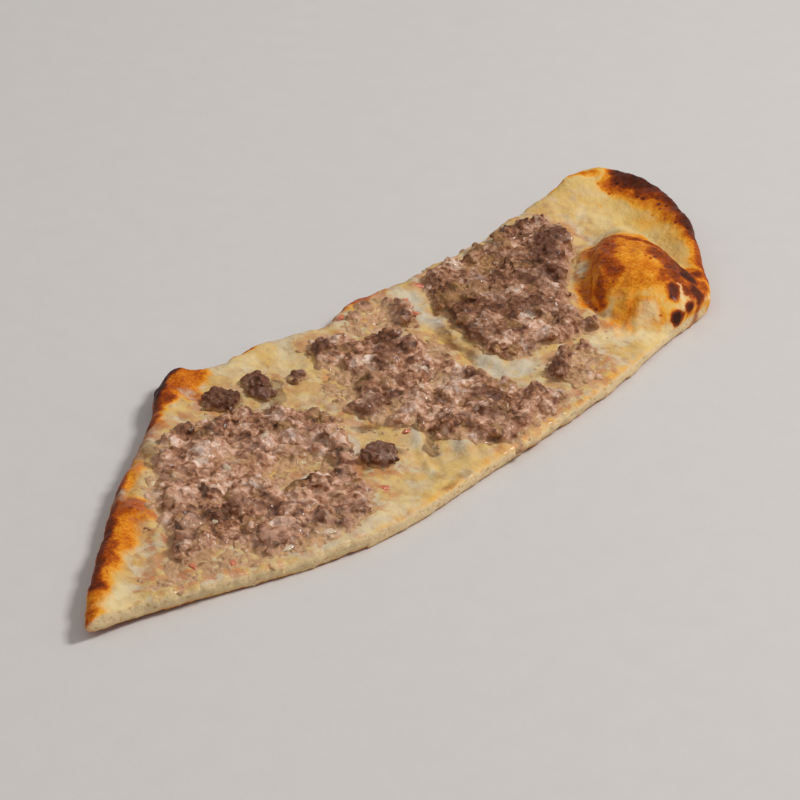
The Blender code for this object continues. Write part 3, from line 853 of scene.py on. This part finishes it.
def grain_tree(name, keeps_core):
    """A Geometry Nodes tree that strews lumpy grains over a mesh, as densely as its "grains" attribute says.
    It gives the grains alone, or the grains on the mesh that they were strewn over, the core."""
    tree = bpy.data.node_groups.new(name, "GeometryNodeTree")
    tree.interface.new_socket("Geometry", in_out="INPUT", socket_type="NodeSocketGeometry")
    for label, kind in GRAIN_INPUTS.items():
        tree.interface.new_socket(label, in_out="INPUT", socket_type=kind)
    tree.interface.new_socket("Geometry", in_out="OUTPUT", socket_type="NodeSocketGeometry")
    graph = Graph(tree)
    inputs = graph.add("NodeGroupInput")
    given = {label: Value(graph, inputs.outputs[label]) for label in ("Geometry", *GRAIN_INPUTS)}

    named = {"Name": "grains"}
    density = graph.get("GeometryNodeInputNamedAttribute", "Attribute", {"data_type": "FLOAT"}, named)
    strewn = graph.add("GeometryNodeDistributePointsOnFaces", {"distribute_method": "POISSON"}, {
        "Mesh": given["Geometry"],
        "Distance Min": given["Spacing"],
        "Density Max": 3.0 / (given["Spacing"] * given["Spacing"]),
        "Density Factor": density,
        "Seed": given["Seed"],
    })

    def drawn(low, high, seed):
        """A random number for each grain. The node's sockets for numbers are 2 and 3."""
        values = {2: low, 3: high, "Seed": given["Seed"] + seed}
        return graph.get("FunctionNodeRandomValue", 1, {"data_type": "FLOAT"}, values)

    radius = drawn(given["Smallest"], given["Largest"], 1)
    inwards = graph.get("ShaderNodeVectorMath", 0, {"operation": "SCALE"}, {
        0: Value(graph, strewn.outputs["Normal"]),
        "Scale": radius * given["Sink"] * -1.0,
    })
    points = graph.get("GeometryNodeSetPosition", "Geometry", None, {
        "Geometry": Value(graph, strewn.outputs["Points"]),
        "Offset": inwards,
    })
    ball = {"Radius": 1.0, "Subdivisions": given["Facets"]}
    grain = graph.get("GeometryNodeMeshIcoSphere", "Mesh", None, ball)
    shape = graph.get("ShaderNodeCombineXYZ", 0, None, {
        0: radius * drawn(1.0, given["Stretch"], 2),
        1: radius,
        2: radius * given["Flatness"],
    })
    turn = graph.get("FunctionNodeRandomValue", 0, {"data_type": "FLOAT_VECTOR"}, {
        1: (0.6, 0.6, 2 * math.pi),
        "Seed": given["Seed"] + 3,
    })
    grains = graph.get("GeometryNodeInstanceOnPoints", "Instances", None, {
        "Points": points,
        "Instance": grain,
        "Rotation": turn,
        "Scale": shape,
    })
    loose = graph.get("GeometryNodeRealizeInstances", "Geometry", None, {"Geometry": grains})
    lumps = graph.get("ShaderNodeTexNoise", "Fac", None, {
        "Vector": graph.get("GeometryNodeInputPosition", 0),
        "Scale": 1.0 / given["Lump Size"],
        "Detail": 2.0,
    })
    swell = graph.get("ShaderNodeVectorMath", 0, {"operation": "SCALE"}, {
        0: graph.get("GeometryNodeInputNormal", 0),
        "Scale": (lumps - 0.5) * given["Lumpiness"],
    })
    uneven = graph.get("GeometryNodeSetPosition", "Geometry", None, {"Geometry": loose, "Offset": swell})
    parts = [uneven, given["Geometry"]] if keeps_core else [uneven]
    heap = graph.get("GeometryNodeJoinGeometry", "Geometry", None, {"Geometry": parts})
    finished = graph.get("GeometryNodeSetMaterial", "Geometry", None, {
        "Geometry": heap,
        "Material": given["Material"],
    })
    graph.add("NodeGroupOutput", None, {"Geometry": finished})
    return tree


def strew(piece, tree, material, **sizes):
    """Adds a grain tree to a piece. Its sizes are named as its inputs, with _ for a space."""
    modifier = piece.modifiers.new(tree.name, "NODES")
    modifier.node_group = tree
    sizes = {name.replace("_", " "): value for name, value in sizes.items()}
    sizes["Material"] = material
    for socket in tree.interface.items_tree:
        if socket.in_out == "INPUT" and socket.name in sizes:
            modifier[socket.identifier] = sizes[socket.name]


def local_height(points, cell=0.6, reach=3):
    """How far each point stands above the mean of its surroundings in plan, in millimetres. They reach this
    many cells to each side, and a cell is this many millimetres wide."""
    plan = plan_of(points)
    height = points[:, 2] / MM
    index = np.floor((plan - plan.min(axis=0)) / cell).astype(int) + reach
    total = np.zeros(index.max(axis=0) + reach + 1)
    count = np.zeros_like(total)
    np.add.at(total, tuple(index.T), height)
    np.add.at(count, tuple(index.T), 1)
    around_total, around_count = np.zeros_like(total), np.zeros_like(count)
    for i in range(-reach, reach + 1):
        for j in range(-reach, reach + 1):
            around_total += np.roll(total, (i, j), (0, 1))
            around_count += np.roll(count, (i, j), (0, 1))
    mean = around_total / np.maximum(around_count, 1)
    return height - mean[tuple(index.T)]


def distance_within(targets, places):
    """Millimetres from each plan place to the nearest of the target places."""
    tree = KDTree(len(targets))
    for number, (x, y) in enumerate(targets):
        tree.insert((x, y, 0), number)
    tree.balance()
    return np.array([tree.find((x, y, 0))[2] for x, y in places])


def outline_of(places, cell=0.8):
    """Those of a piece's plan places that lie along its outline."""
    index = tuple((np.floor((places - places.min(axis=0)) / cell).astype(int) + 1).T)
    filled = np.zeros((index[0].max() + 2, index[1].max() + 2), bool)
    filled[index] = True
    inner = filled.copy()
    for step, axis in ((1, 0), (-1, 0), (1, 1), (-1, 1)):
        inner &= np.roll(filled, step, axis)
    return places[(filled & ~inner)[index]]


def distance_to_meat(places):
    """Millimetres from each plan place to the nearest meat."""
    nodes = [patch[0] for patch in PATCHES.values()] + list(LONE_CRUMBLES)
    meat = [plan_of(read(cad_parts[node].data, "co")) for node in nodes]
    return distance_within(np.vstack(meat), places)


def surface_of(*pieces):
    """The joined surface of some pieces, for finding the height at a place."""
    corners, faces = [], []
    for piece in pieces:
        count = len(corners)
        corners += [v.co.copy() for v in piece.data.vertices]
        faces += [[count + number for number in face.vertices] for face in piece.data.polygons]
    return BVHTree.FromPolygons(corners, faces)


def height_under(surface, points):
    """The height of a surface under or over each point, or the point's own height beside it."""
    found = [surface.ray_cast(Vector((x, y, OVER_ALL)), DOWN)[0] for x, y, _ in points]
    return np.array([point[2] if hit is None else hit.z for hit, point in zip(found, points)])


def dough_relief(points, normals, places):
    """How far the dough's surface swells or sinks, in millimetres."""
    upward = eased(normals[:, 2] * 2 + 0.6)
    relief = 0.4 * fractal(points, 9, 2, seed=1) + 0.28 * fractal(points, 3.4, 3, seed=2)
    relief += 0.08 * fractal(points, 1.2, 2, seed=3)
    relief *= 0.25 + 0.75 * upward
    relief += summed(RIDGES, places) * upward
    near_meat = eased(1.3 - distance_to_meat(places) / 3) * upward
    relief += near_meat * (0.6 + 0.4 * fractal(points, 3, 2, seed=12))
    return relief


def spotted(spots, points, places):
    """The strongest of the round spots at each point."""
    best = np.zeros(len(points))
    for place, radius, strength in spots:
        # The point nearest to the place in plan, and of those one above the other the upper one.
        middle = points[np.argmin(np.hypot(*(places - place).T) - 200 * points[:, 2])]
        away = np.linalg.norm(points - middle, axis=1) / MM
        best = np.maximum(best, strength * eased(1.35 * (1 - away / radius)))
    return best


def cut_side(normals, places):
    """1 on the cut side, 0 elsewhere."""
    forwards = eased(-normals[:, 1] * 3 - 0.9)
    upright = eased(1.6 - 2 * np.abs(normals[:, 2]))
    return forwards * eased((CUT_SIDE_END - places[:, 0]) / 3) * upright


def paint_dough(mesh, points, normals, places):
    """Stores how brown, wet, pale and open the dough is, where juice has run into it or fat has set on it,
    and where shadow and a bluish wet sheen are painted on it.
    """
    wander = wandering(points, size=5, octaves=4, seeds=(4, 5))
    near = places + DOUGH_WANDER * wander
    blister_skin = np.maximum(points[:, 2] / MM - 2, 0) * eased(places[:, 0] / 8 - 19)
    crumb = cut_side(normals, places) * eased(1.5 - blister_skin)
    under = eased(-normals[:, 2] * 3 - 0.8)
    side = eased(1.5 - 2.2 * np.abs(normals[:, 2])) * (1 - crumb)
    spots = spotted(SPOTS, points + DOUGH_WANDER * MM * np.column_stack([wander, 0 * side]), places)
    uneven = 1 - 0.35 * side * eased(0.5 + 1.6 * fractal(points, 6, 3, seed=24))
    brown = np.maximum((0.12 + 0.95 * strongest(BROWNING, near)) * uneven, 0.36 * side)
    brown = np.maximum(brown, 0.12 + 1.05 * spots)
    oven_floor = 0.29 + 0.18 * eased(0.5 + 1.1 * fractal(points, 8, 4, seed=6))
    brown = brown * (1 - under) + oven_floor * under
    away = distance_to_meat(places)
    top = eased(normals[:, 2] * 2)
    store(mesh, "browning", brown)
    store(mesh, "freckles", strongest(FRECKLES, near))
    store(mesh, "crumb", crumb * (1 - eased(brown * 3 - 1.1)))
    store(mesh, "pale", strongest(PALE, near) * top)
    # Set fat, with a painted wet sheen.
    store(mesh, "milky", strongest(MILKY_SHEEN, near) * top)
    flat = eased(normals[:, 2] * 4 - 2.6)
    store(mesh, "wet", np.maximum(strongest(WET, near), 0.75 * eased(1.4 - away / 3.5)) * flat)
    clean = np.maximum(strongest(WET, near) * 0.6, strongest(MILKY_SHEEN, near) * 0.8)
    juice = eased(1.5 - away / 9) * (1 - eased(brown * 4 - 0.7)) * (1 - clean)
    # Juice near the meat, and the painted shadow strokes among the juicy ones.
    store(mesh, "stain", np.maximum(juice, strongest(JUICE_AND_SHADE, near)) * top)
    pinkish = 0.7 * eased(1.4 - away / 4) * (1 - clean)
    store(mesh, "blush", np.maximum(strongest(STREWN, near), pinkish) * top)
    clustered = eased(4 * fractal(points, 4.5, 2, seed=21) - 1.1) * eased(1.3 - away / 3)
    scattered = strongest(STREWN, places) * eased(2.4 * fractal(points, 4, 2, seed=22) - 0.2)
    grains = 0.7 * np.maximum(clustered, scattered) * top
    store(mesh, "grains", grains * (1 - eased(brown * 3 - 1.2)))


class DoughLook(PropertyGroup):
    """Sizes and colours of the baked dough."""

    detail: FloatProperty(
        name="Detail", description="Size of the faces of the dough's surface",
        default=0.5 * MM, min=0.3 * MM, unit="LENGTH", precision=5,
    )
    pale_colour: FloatVectorProperty(
        name="Pale dough", description="Colour where the dough is hardly baked",
        default=linear(228, 205, 154), subtype="COLOR", min=0, max=1,
    )
    crumb_colour: FloatVectorProperty(
        name="Crumb", description="Colour of the cut side",
        default=linear(224, 196, 150), subtype="COLOR", min=0, max=1,
    )
    # Also the colour of the painted bluish sheen on the wet dough.
    milky_sheen_colour: FloatVectorProperty(
        name="Milky spots", description="Colour where fat has set on the dough",
        default=linear(202, 193, 174), subtype="COLOR", min=0, max=1,
    )
    # Also the colour of painted shadow where the stain strokes stand for it.
    juice_and_shade_colour: FloatVectorProperty(
        name="Juice", description="Colour where meat juice has soaked in",
        default=linear(192, 152, 94), subtype="COLOR", min=0, max=1,
    )
    smear_colour: FloatVectorProperty(
        name="Smears", description="Colour of the finest bits of meat, smeared on the dough",
        default=linear(170, 124, 88), subtype="COLOR", min=0, max=1,
    )
    # Also the colour of the painted shadow beside the right patch and round the lone crumbles.
    deep_juice_and_shade_colour: FloatVectorProperty(
        name="Deep juice", description="Colour where the juice of the meat has baked in most deeply",
        default=linear(116, 72, 32), subtype="COLOR", min=0, max=1,
    )
    blush_colour: FloatVectorProperty(
        name="Blush", description="Colour where pink bits of meat are baked into the dough",
        default=linear(186, 106, 68), subtype="COLOR", min=0, max=1,
    )


class MeatLook(PropertyGroup):
    """Sizes and colours of the minced meat."""

    detail: FloatProperty(
        name="Detail", description="Size of the faces of the meat's surface",
        default=0.28 * MM, min=0.2 * MM, unit="LENGTH", precision=5,
    )
    spacing: FloatProperty(
        name="Spacing", description="Least distance between two grains",
        default=1.15 * MM, min=0.5 * MM, unit="LENGTH", precision=5,
    )
    smallest: FloatProperty(
        name="Smallest grain", description="Radius of the smallest grain",
        default=0.4 * MM, min=0.2 * MM, unit="LENGTH", precision=5,
    )
    largest: FloatProperty(
        name="Largest grain", description="Radius of the largest grain",
        default=1.1 * MM, min=0.3 * MM, unit="LENGTH", precision=5,
    )
    seed: IntProperty(name="Seed", description="Where the grains fall", default=4, min=0)
    tan_colour: FloatVectorProperty(
        name="Tan", description="Colour of the meat that is soaked in butter",
        default=linear(178, 134, 80), subtype="COLOR", min=0, max=1,
    )
    mauve_colour: FloatVectorProperty(
        name="Mauve", description="Colour of the greyish meat",
        default=linear(148, 102, 84), subtype="COLOR", min=0, max=1,
    )
    pink_colour: FloatVectorProperty(
        name="Pink", description="Colour of the least cooked meat",
        default=linear(206, 160, 134), subtype="COLOR", min=0, max=1,
    )
    fat_colour: FloatVectorProperty(
        name="Fat", description="Colour of fat and onion",
        default=linear(214, 186, 158), subtype="COLOR", min=0, max=1,
    )
    # Also the colour of the painted shade along a few clump edges.
    browned_and_shade_colour: FloatVectorProperty(
        name="Browned", description="Colour of the crisp brown meat",
        default=linear(94, 50, 28), subtype="COLOR", min=0, max=1,
    )
    # Painted shade deep between the grains.
    gap_shade_colour: FloatVectorProperty(
        name="Gaps", description="Colour deep between the grains",
        default=linear(90, 48, 20), subtype="COLOR", min=0, max=1,
    )
    paste_colour: FloatVectorProperty(
        name="Paste", description="Colour of the juicy dough between the grains where the meat lies thin",
        default=linear(194, 152, 108), subtype="COLOR", min=0, max=1,
    )
    pepper_colour: FloatVectorProperty(
        name="Pepper", description="Colour of the small red bits",
        default=linear(214, 120, 84), subtype="COLOR", min=0, max=1,
    )


class TableLook(PropertyGroup):
    """The floor, the light and the camera."""

    floor_colour: FloatVectorProperty(
        name="Floor", description="Colour of the plain floor",
        default=linear(205, 200, 196), subtype="COLOR", min=0, max=1,
    )
    camera_azimuth: FloatProperty(
        name="Azimuth", description="Where the camera stands round the slice",
        default=math.radians(-49.95), unit="ROTATION",
    )
    camera_elevation: FloatProperty(
        name="Elevation", description="How far the camera looks down",
        default=math.radians(29.96), unit="ROTATION",
    )
    camera_roll: FloatProperty(
        name="Roll", description="How far the picture's right side is turned up",
        default=math.radians(4.49), unit="ROTATION",
    )
    camera_distance: FloatProperty(
        name="Distance", description="From the camera to the slice",
        default=0.6756, unit="LENGTH",
    )
    view_angle: FloatProperty(
        name="View angle", description="The camera's angle of view",
        default=math.radians(13), unit="ROTATION",
    )


class PIDE_OT_dough(Operator):
    """Bakes the dough: sheet, crust, blister and cut side"""

    bl_idname = "pide.dough"
    bl_label = "Dough"

    def execute(self, context):
        look = context.scene.pide_dough
        piece = copy_of_cad("pide_dough", "dough")
        crease_cut_side(piece.data)
        modify(piece, "SUBSURF", levels=2, render_levels=2)
        modify(piece, "REMESH", mode="VOXEL", voxel_size=look.detail)
        modify(piece, "SMOOTH", factor=0.5, iterations=4)
        settle(piece)
        mesh = piece.data
        points, normals = read(mesh, "co"), read(mesh, "normal")
        places = plan_of(points)
        moved = points + normals * (dough_relief(points, normals, places) * MM)[:, None]
        low, high = (np.array(corner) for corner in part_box("dough"))
        write(mesh, np.clip(moved, low, high))
        paint_dough(mesh, read(mesh, "co"), read(mesh, "normal"), places)
        dress(piece, dough_finish(look), "baked_dough", "dough")
        return {"FINISHED"}


def paint_meat(mesh, ground, pink, dark, evenly=False):
    """Stores how pink, dark and buttery the meat is, where dark is browning and, along a few clump edges,
    painted shade;
    the painted shade in the gaps between its grains; and where it meets the dough. Meat that is evenly dark
    has no browned or shaded places of its own."""
    points = read(mesh, "co")
    above = local_height(points)
    # Painted shade: the further a point lies below its surroundings, the darker it is.
    store(mesh, "gap", eased(-above / 0.6 - 0.1))
    height = (points[:, 2] - ground) / (0.8 * MM)
    store(mesh, "paste", eased(1.2 - height + 0.5 * fractal(points, 2, 2, seed=14)))
    places = plan_of(points) + MEAT_WANDER * wandering(points, size=3, octaves=2, seeds=(15, 16))
    pinked = strongest(PINK_MEAT, places)
    pink_here = pink + pinked + 0.5 * fractal(points, 9, 2, seed=7)
    store(mesh, "pink", np.clip(pink_here, 0, 1))
    dark_here = np.full(len(points), dark, float)
    if not evenly:
        dark_here += strongest(BROWNED_AND_SHADED_MEAT, places) - 0.6 * pinked
        dark_here += 0.5 * fractal(points, 7, 2, seed=8) + 0.06 * above
        dark_here = np.clip(dark_here, 0, 1)
    store(mesh, "dark", dark_here)
    store(mesh, "buttered", strongest(BUTTERED_MEAT, places))


def lay_core(piece, dough):
    """Sinks a patch's core into the dough at its ragged edge and where the meat lies thin."""
    points, normals = read(piece.data, "co"), read(piece.data, "normal")
    places = plan_of(points)
    ground = height_under(dough, points)
    inside = distance_within(outline_of(places), places)
    ragged = 0.5 * fractal(points, 3, 2, seed=13)
    thin = eased(1.3 * strongest(THIN, places) + 0.5 * ragged)
    cover = eased(inside / 2 + 0.05 + ragged) * (1 - thin)
    clumps = 0.7 * fractal(points, 7, 3, seed=10) - 0.6 + summed(CLUMPS, places)
    over = np.maximum(points[:, 2] - ground, 0) + clumps * MM
    top = ground + over * cover - 0.1 * MM * (1 - cover)
    faces_down = normals[:, 2] < -0.2
    points[:, 2] = np.where(faces_down, ground - ROOT_DEPTH, top)
    write(piece.data, points)
    return cover


def roughen(mesh, depth, size):
    """Gives the surface of meat a relief of this depth, with features of this size, in millimetres."""
    points, normals = read(mesh, "co"), read(mesh, "normal")
    relief = depth * fractal(points, size, 3, seed=9)
    write(mesh, points + normals * (relief * MM)[:, None])


def heap_up(piece, material, look, coarse, smoothing):
    """Heaps clumps and then grains on a core, and fuses them to one surface."""
    tree = bpy.data.node_groups["meat_grains"]
    strew(
        piece, tree, material, Spacing=3.4 * MM, Smallest=0.9 * MM, Largest=1.8 * MM * coarse,
        Stretch=1.6, Flatness=0.6 * coarse, Sink=0.45, Lumpiness=2.4 * MM, Lump_Size=1.8 * MM,
        Facets=4, Seed=look.seed + 7,
    )
    modify(piece, "REMESH", mode="VOXEL", voxel_size=CLUMP_DETAIL)
    settle(piece)
    normals = read(piece.data, "normal")
    store(piece.data, "grains", eased(normals[:, 2] * 3 - 0.2))
    strew(
        piece, tree, material, Spacing=look.spacing, Smallest=look.smallest, Largest=look.largest * coarse,
        Stretch=1.8, Flatness=0.75 * coarse, Sink=0.35, Lumpiness=1.1 * MM, Lump_Size=0.9 * MM,
        Facets=3, Seed=look.seed,
    )
    modify(piece, "REMESH", mode="VOXEL", voxel_size=look.detail)
    modify(piece, "SMOOTH", factor=0.4, iterations=smoothing)
    settle(piece)
    roughen(piece.data, depth=0.22, size=1.3)


class PIDE_OT_meat(Operator):
    """Lays the patches of minced meat"""

    bl_idname = "pide.meat"
    bl_label = "Meat patches"

    def execute(self, context):
        look = context.scene.pide_meat
        grain_tree("meat_grains", keeps_core=True)
        material = meat_finish(look)
        dough = surface_of(bpy.data.objects["pide_dough"])
        for name, (node, pink, dark, coarse, smoothing) in PATCHES.items():
            piece = copy_of_cad(name, node)
            modify(piece, "REMESH", mode="VOXEL", voxel_size=CORE_DETAIL)
            modify(piece, "SMOOTH", factor=0.5, iterations=3)
            settle(piece)
            cover = lay_core(piece, dough)
            normals = read(piece.data, "normal")
            store(piece.data, "grains", eased(normals[:, 2] * 4 - 0.4) * (0.15 + 0.85 * cover))
            heap_up(piece, material, look, coarse, smoothing)
            paint_meat(piece.data, height_under(dough, read(piece.data, "co")), pink, dark)
            dress(piece, material, "minced_meat", node)
        return {"FINISHED"}


class PIDE_OT_crumbles(Operator):
    """Puts the lone browned crumbles on the bare dough"""

    bl_idname = "pide.crumbles"
    bl_label = "Lone crumbles"

    def execute(self, context):
        look = context.scene.pide_meat
        piece = copy_of_cad("lone_crumbles", *LONE_CRUMBLES)
        modify(piece, "REMESH", mode="VOXEL", voxel_size=CLUMP_DETAIL)
        settle(piece)
        dough = surface_of(bpy.data.objects["pide_dough"])
        points, normals = read(piece.data, "co"), read(piece.data, "normal")
        ground = height_under(dough, points)
        points[:, 2] = ground + CRUMBLE_FLATNESS * (points[:, 2] - ground)
        # They swell by 0.1 mm and sink by 0.6 mm, and their undersides by 1.2 mm.
        shift = normals * 0.1
        shift[:, 2] -= np.where(normals[:, 2] < -0.2, 1.2, 0.6)
        write(piece.data, points + shift * MM)
        store(piece.data, "grains", (normals[:, 2] > -0.15).astype(float))
        tree = bpy.data.node_groups["meat_grains"]
        material = bpy.data.materials["cooked_mince"]
        strew(
            piece, tree, material, Spacing=1.1 * MM, Smallest=0.4 * MM, Largest=1.1 * MM, Stretch=1.6,
            Flatness=0.8, Sink=0.1, Lumpiness=1.3 * MM, Lump_Size=0.8 * MM, Facets=3, Seed=look.seed + 20,
        )
        modify(piece, "REMESH", mode="VOXEL", voxel_size=CRUMBLE_DETAIL)
        modify(piece, "SMOOTH", factor=0.4, iterations=1)
        settle(piece)
        ground = height_under(dough, read(piece.data, "co"))
        roughen(piece.data, depth=0.18, size=1)
        paint_meat(piece.data, ground, pink=0.05, dark=CRUMBLE_DARKNESS, evenly=True)
        dress(piece, material, "browned_meat", *LONE_CRUMBLES)
        return {"FINISHED"}


class PIDE_OT_grains(Operator):
    """Strews loose grains of meat on the dough round the patches"""

    bl_idname = "pide.grains"
    bl_label = "Loose grains"

    def execute(self, context):
        look = context.scene.pide_meat
        piece = add_piece("loose_grains", bpy.data.objects["pide_dough"].data.copy())
        material = bpy.data.materials["cooked_mince"]
        tree = grain_tree("strewn_grains", keeps_core=False)
        strew(
            piece, tree, material, Spacing=1.0 * MM, Smallest=0.4 * MM, Largest=0.9 * MM, Stretch=1.7,
            Flatness=0.4, Sink=0.5, Lumpiness=0.9 * MM, Lump_Size=0.8 * MM, Facets=2, Seed=look.seed + 40,
        )
        settle(piece)
        points = read(piece.data, "co")
        dough = surface_of(bpy.data.objects["pide_dough"])
        paint_meat(piece.data, height_under(dough, points), pink=0.25, dark=0, evenly=True)
        store(piece.data, "gap", np.zeros(len(points)))
        dress(piece, material, "minced_meat")
        return {"FINISHED"}


def add_bits(name, bits, material, thickness):
    """Soft, uneven flat bits, of this thickness in millimetres, that lie on the slice as one piece."""
    surface = surface_of(*(bpy.data.objects[piece] for piece in ("pide_dough", *PATCHES)))
    shape = bmesh.new()
    for number, (place, length, width, turn) in enumerate(bits):
        x, y = (np.array(place) - PLAN_CORNER) * MM + CAD_LOW[:2]
        found, normal, _, _ = surface.ray_cast(Vector((x, y, OVER_ALL)), DOWN)
        made = bmesh.ops.create_icosphere(shape, subdivisions=4, radius=0.5)
        lie = UP.rotation_difference((normal + UP).normalized()).to_matrix().to_4x4()
        size = Matrix.Diagonal((length * MM, width * MM, thickness * MM, 1))
        move = Matrix.Translation(found) @ lie @ Matrix.Rotation(math.radians(turn), 4, "Z") @ size
        for vertex in made["verts"]:
            # Each bit reads another part of the noise, so no two are alike.
            away = vertex.co + Vector((7.3 * number, 3.1, 1.7))
            swell = 1 + 0.45 * noise.fractal(away * 2.2, 1.0, 2.0, 3)
            vertex.co = move @ (vertex.co * swell)
    mesh = bpy.data.meshes.new(name)
    shape.to_mesh(mesh)
    shape.free()
    dress(add_piece(name, mesh), material, "minced_meat")


class PIDE_OT_bits(Operator):
    """Lays the soft onion and the red pepper on the meat"""

    bl_idname = "pide.bits"
    bl_label = "Onion and pepper"

    def execute(self, context):
        look = context.scene.pide_meat
        add_bits("onion_bits", ONIONS, fat_finish(look), thickness=0.5)
        add_bits("pepper_bits", PEPPERS, pepper_finish(look), thickness=0.7)
        return {"FINISHED"}


class PIDE_OT_stage(Operator):
    """Sets the floor, the soft light and the camera"""

    bl_idname = "pide.stage"
    bl_label = "Stage"

    def execute(self, context):
        look = context.scene.pide_table
        mesh = bpy.data.meshes.new("floor")
        half, low = 1.5, -0.1 * MM  # the floor's half width, and its height just under the slice
        corners = [(-half, -half, low), (half, -half, low), (half, half, low), (-half, half, low)]
        mesh.from_pydata(corners, [], [(0, 1, 2, 3)])
        floor = add_piece("floor", mesh)

        def build(graph):
            grain = graph.noise(6, detail=4)
            darker = tuple(0.94 * c for c in look.floor_colour)
            return {
                "Base Color": graph.mix(grain, look.floor_colour, darker),
                "Roughness": 0.85,
                "Normal": graph.bump(graph.noise(1.5), 0.1, 0.4),
            }

        mesh.materials.append(new_material("pale_floor", build))
        world = bpy.data.worlds.new("soft_room")
        world.use_nodes = True
        context.scene.world = world
        background = world.node_tree.nodes["Background"]
        background.inputs["Color"].default_value = (1, 1, 1, 1)
        background.inputs["Strength"].default_value = 0.34
        self.add_light("window", place=(0.62, -0.45, 0.9), size=0.3, power=10)
        self.add_light("room", place=(-0.7, -0.2, 0.9), size=0.9, power=1.8)
        self.add_camera(context, look)
        context.scene.view_settings.view_transform = "Standard"
        return {"FINISHED"}

    def add_light(self, name, place, size, power):
        """A square lamp that faces the slice."""
        light = bpy.data.lights.new(name, "AREA")
        light.size = size
        light.energy = power
        lamp = add_piece(name, light)
        lamp.location = place
        lamp.rotation_euler = (-Vector(place)).to_track_quat("-Z", "Y").to_euler()

    def add_camera(self, context, look):
        """The camera, turned round its aim near the middle of the slice."""
        around, down, roll = look.camera_azimuth, look.camera_elevation, look.camera_roll
        back = Vector((math.sin(around) * math.cos(down), -math.cos(around) * math.cos(down), math.sin(down)))
        right = Vector((math.cos(around), math.sin(around), 0))
        up = back.cross(right)
        across = right * math.cos(roll) + up * math.sin(roll)
        upwards = up * math.cos(roll) - right * math.sin(roll)
        aim = Vector((-3.0, -4.0, 3.0)) * MM
        camera = add_piece("camera", bpy.data.cameras.new("camera"))
        axes = Matrix((across, upwards, back)).transposed().to_4x4()
        camera.matrix_world = Matrix.Translation(aim + back * look.camera_distance) @ axes
        camera.data.angle = look.view_angle
        camera.data.clip_start = 0.01
        context.scene.camera = camera


class PIDE_PT_panel(Panel):
    """Shows the settings, and the buttons of the operators that make the slice's pieces"""

    bl_idname = "PIDE_PT_panel"
    bl_label = "Pide"
    bl_space_type = "VIEW_3D"
    bl_region_type = "UI"
    bl_category = "Pide"

    def draw(self, context):
        for settings in (context.scene.pide_dough, context.scene.pide_meat, context.scene.pide_table):
            box = self.layout.box()
            for name in settings.__annotations__:
                box.prop(settings, name)
        for operator in OPERATORS:
            self.layout.operator(operator.bl_idname)


SETTINGS = {"pide_dough": DoughLook, "pide_meat": MeatLook, "pide_table": TableLook}
OPERATORS = (PIDE_OT_dough, PIDE_OT_meat, PIDE_OT_crumbles, PIDE_OT_grains, PIDE_OT_bits, PIDE_OT_stage)
CLASSES = (*SETTINGS.values(), *OPERATORS, PIDE_PT_panel)


def register():
    """Adds the settings, the operators and the panel to Blender."""
    for cls in CLASSES:
        bpy.utils.register_class(cls)
    for name, cls in SETTINGS.items():
        setattr(bpy.types.Scene, name, PointerProperty(type=cls))


def unregister():
    """Takes them out again."""
    for name in SETTINGS:
        delattr(bpy.types.Scene, name)
    for cls in reversed(CLASSES):
        bpy.utils.unregister_class(cls)


def main():
    register()
    bpy.ops.pide.dough()
    bpy.ops.pide.meat()
    bpy.ops.pide.crumbles()
    bpy.ops.pide.grains()
    bpy.ops.pide.bits()
    bpy.ops.pide.stage()


if __name__ == "__main__":
    main()
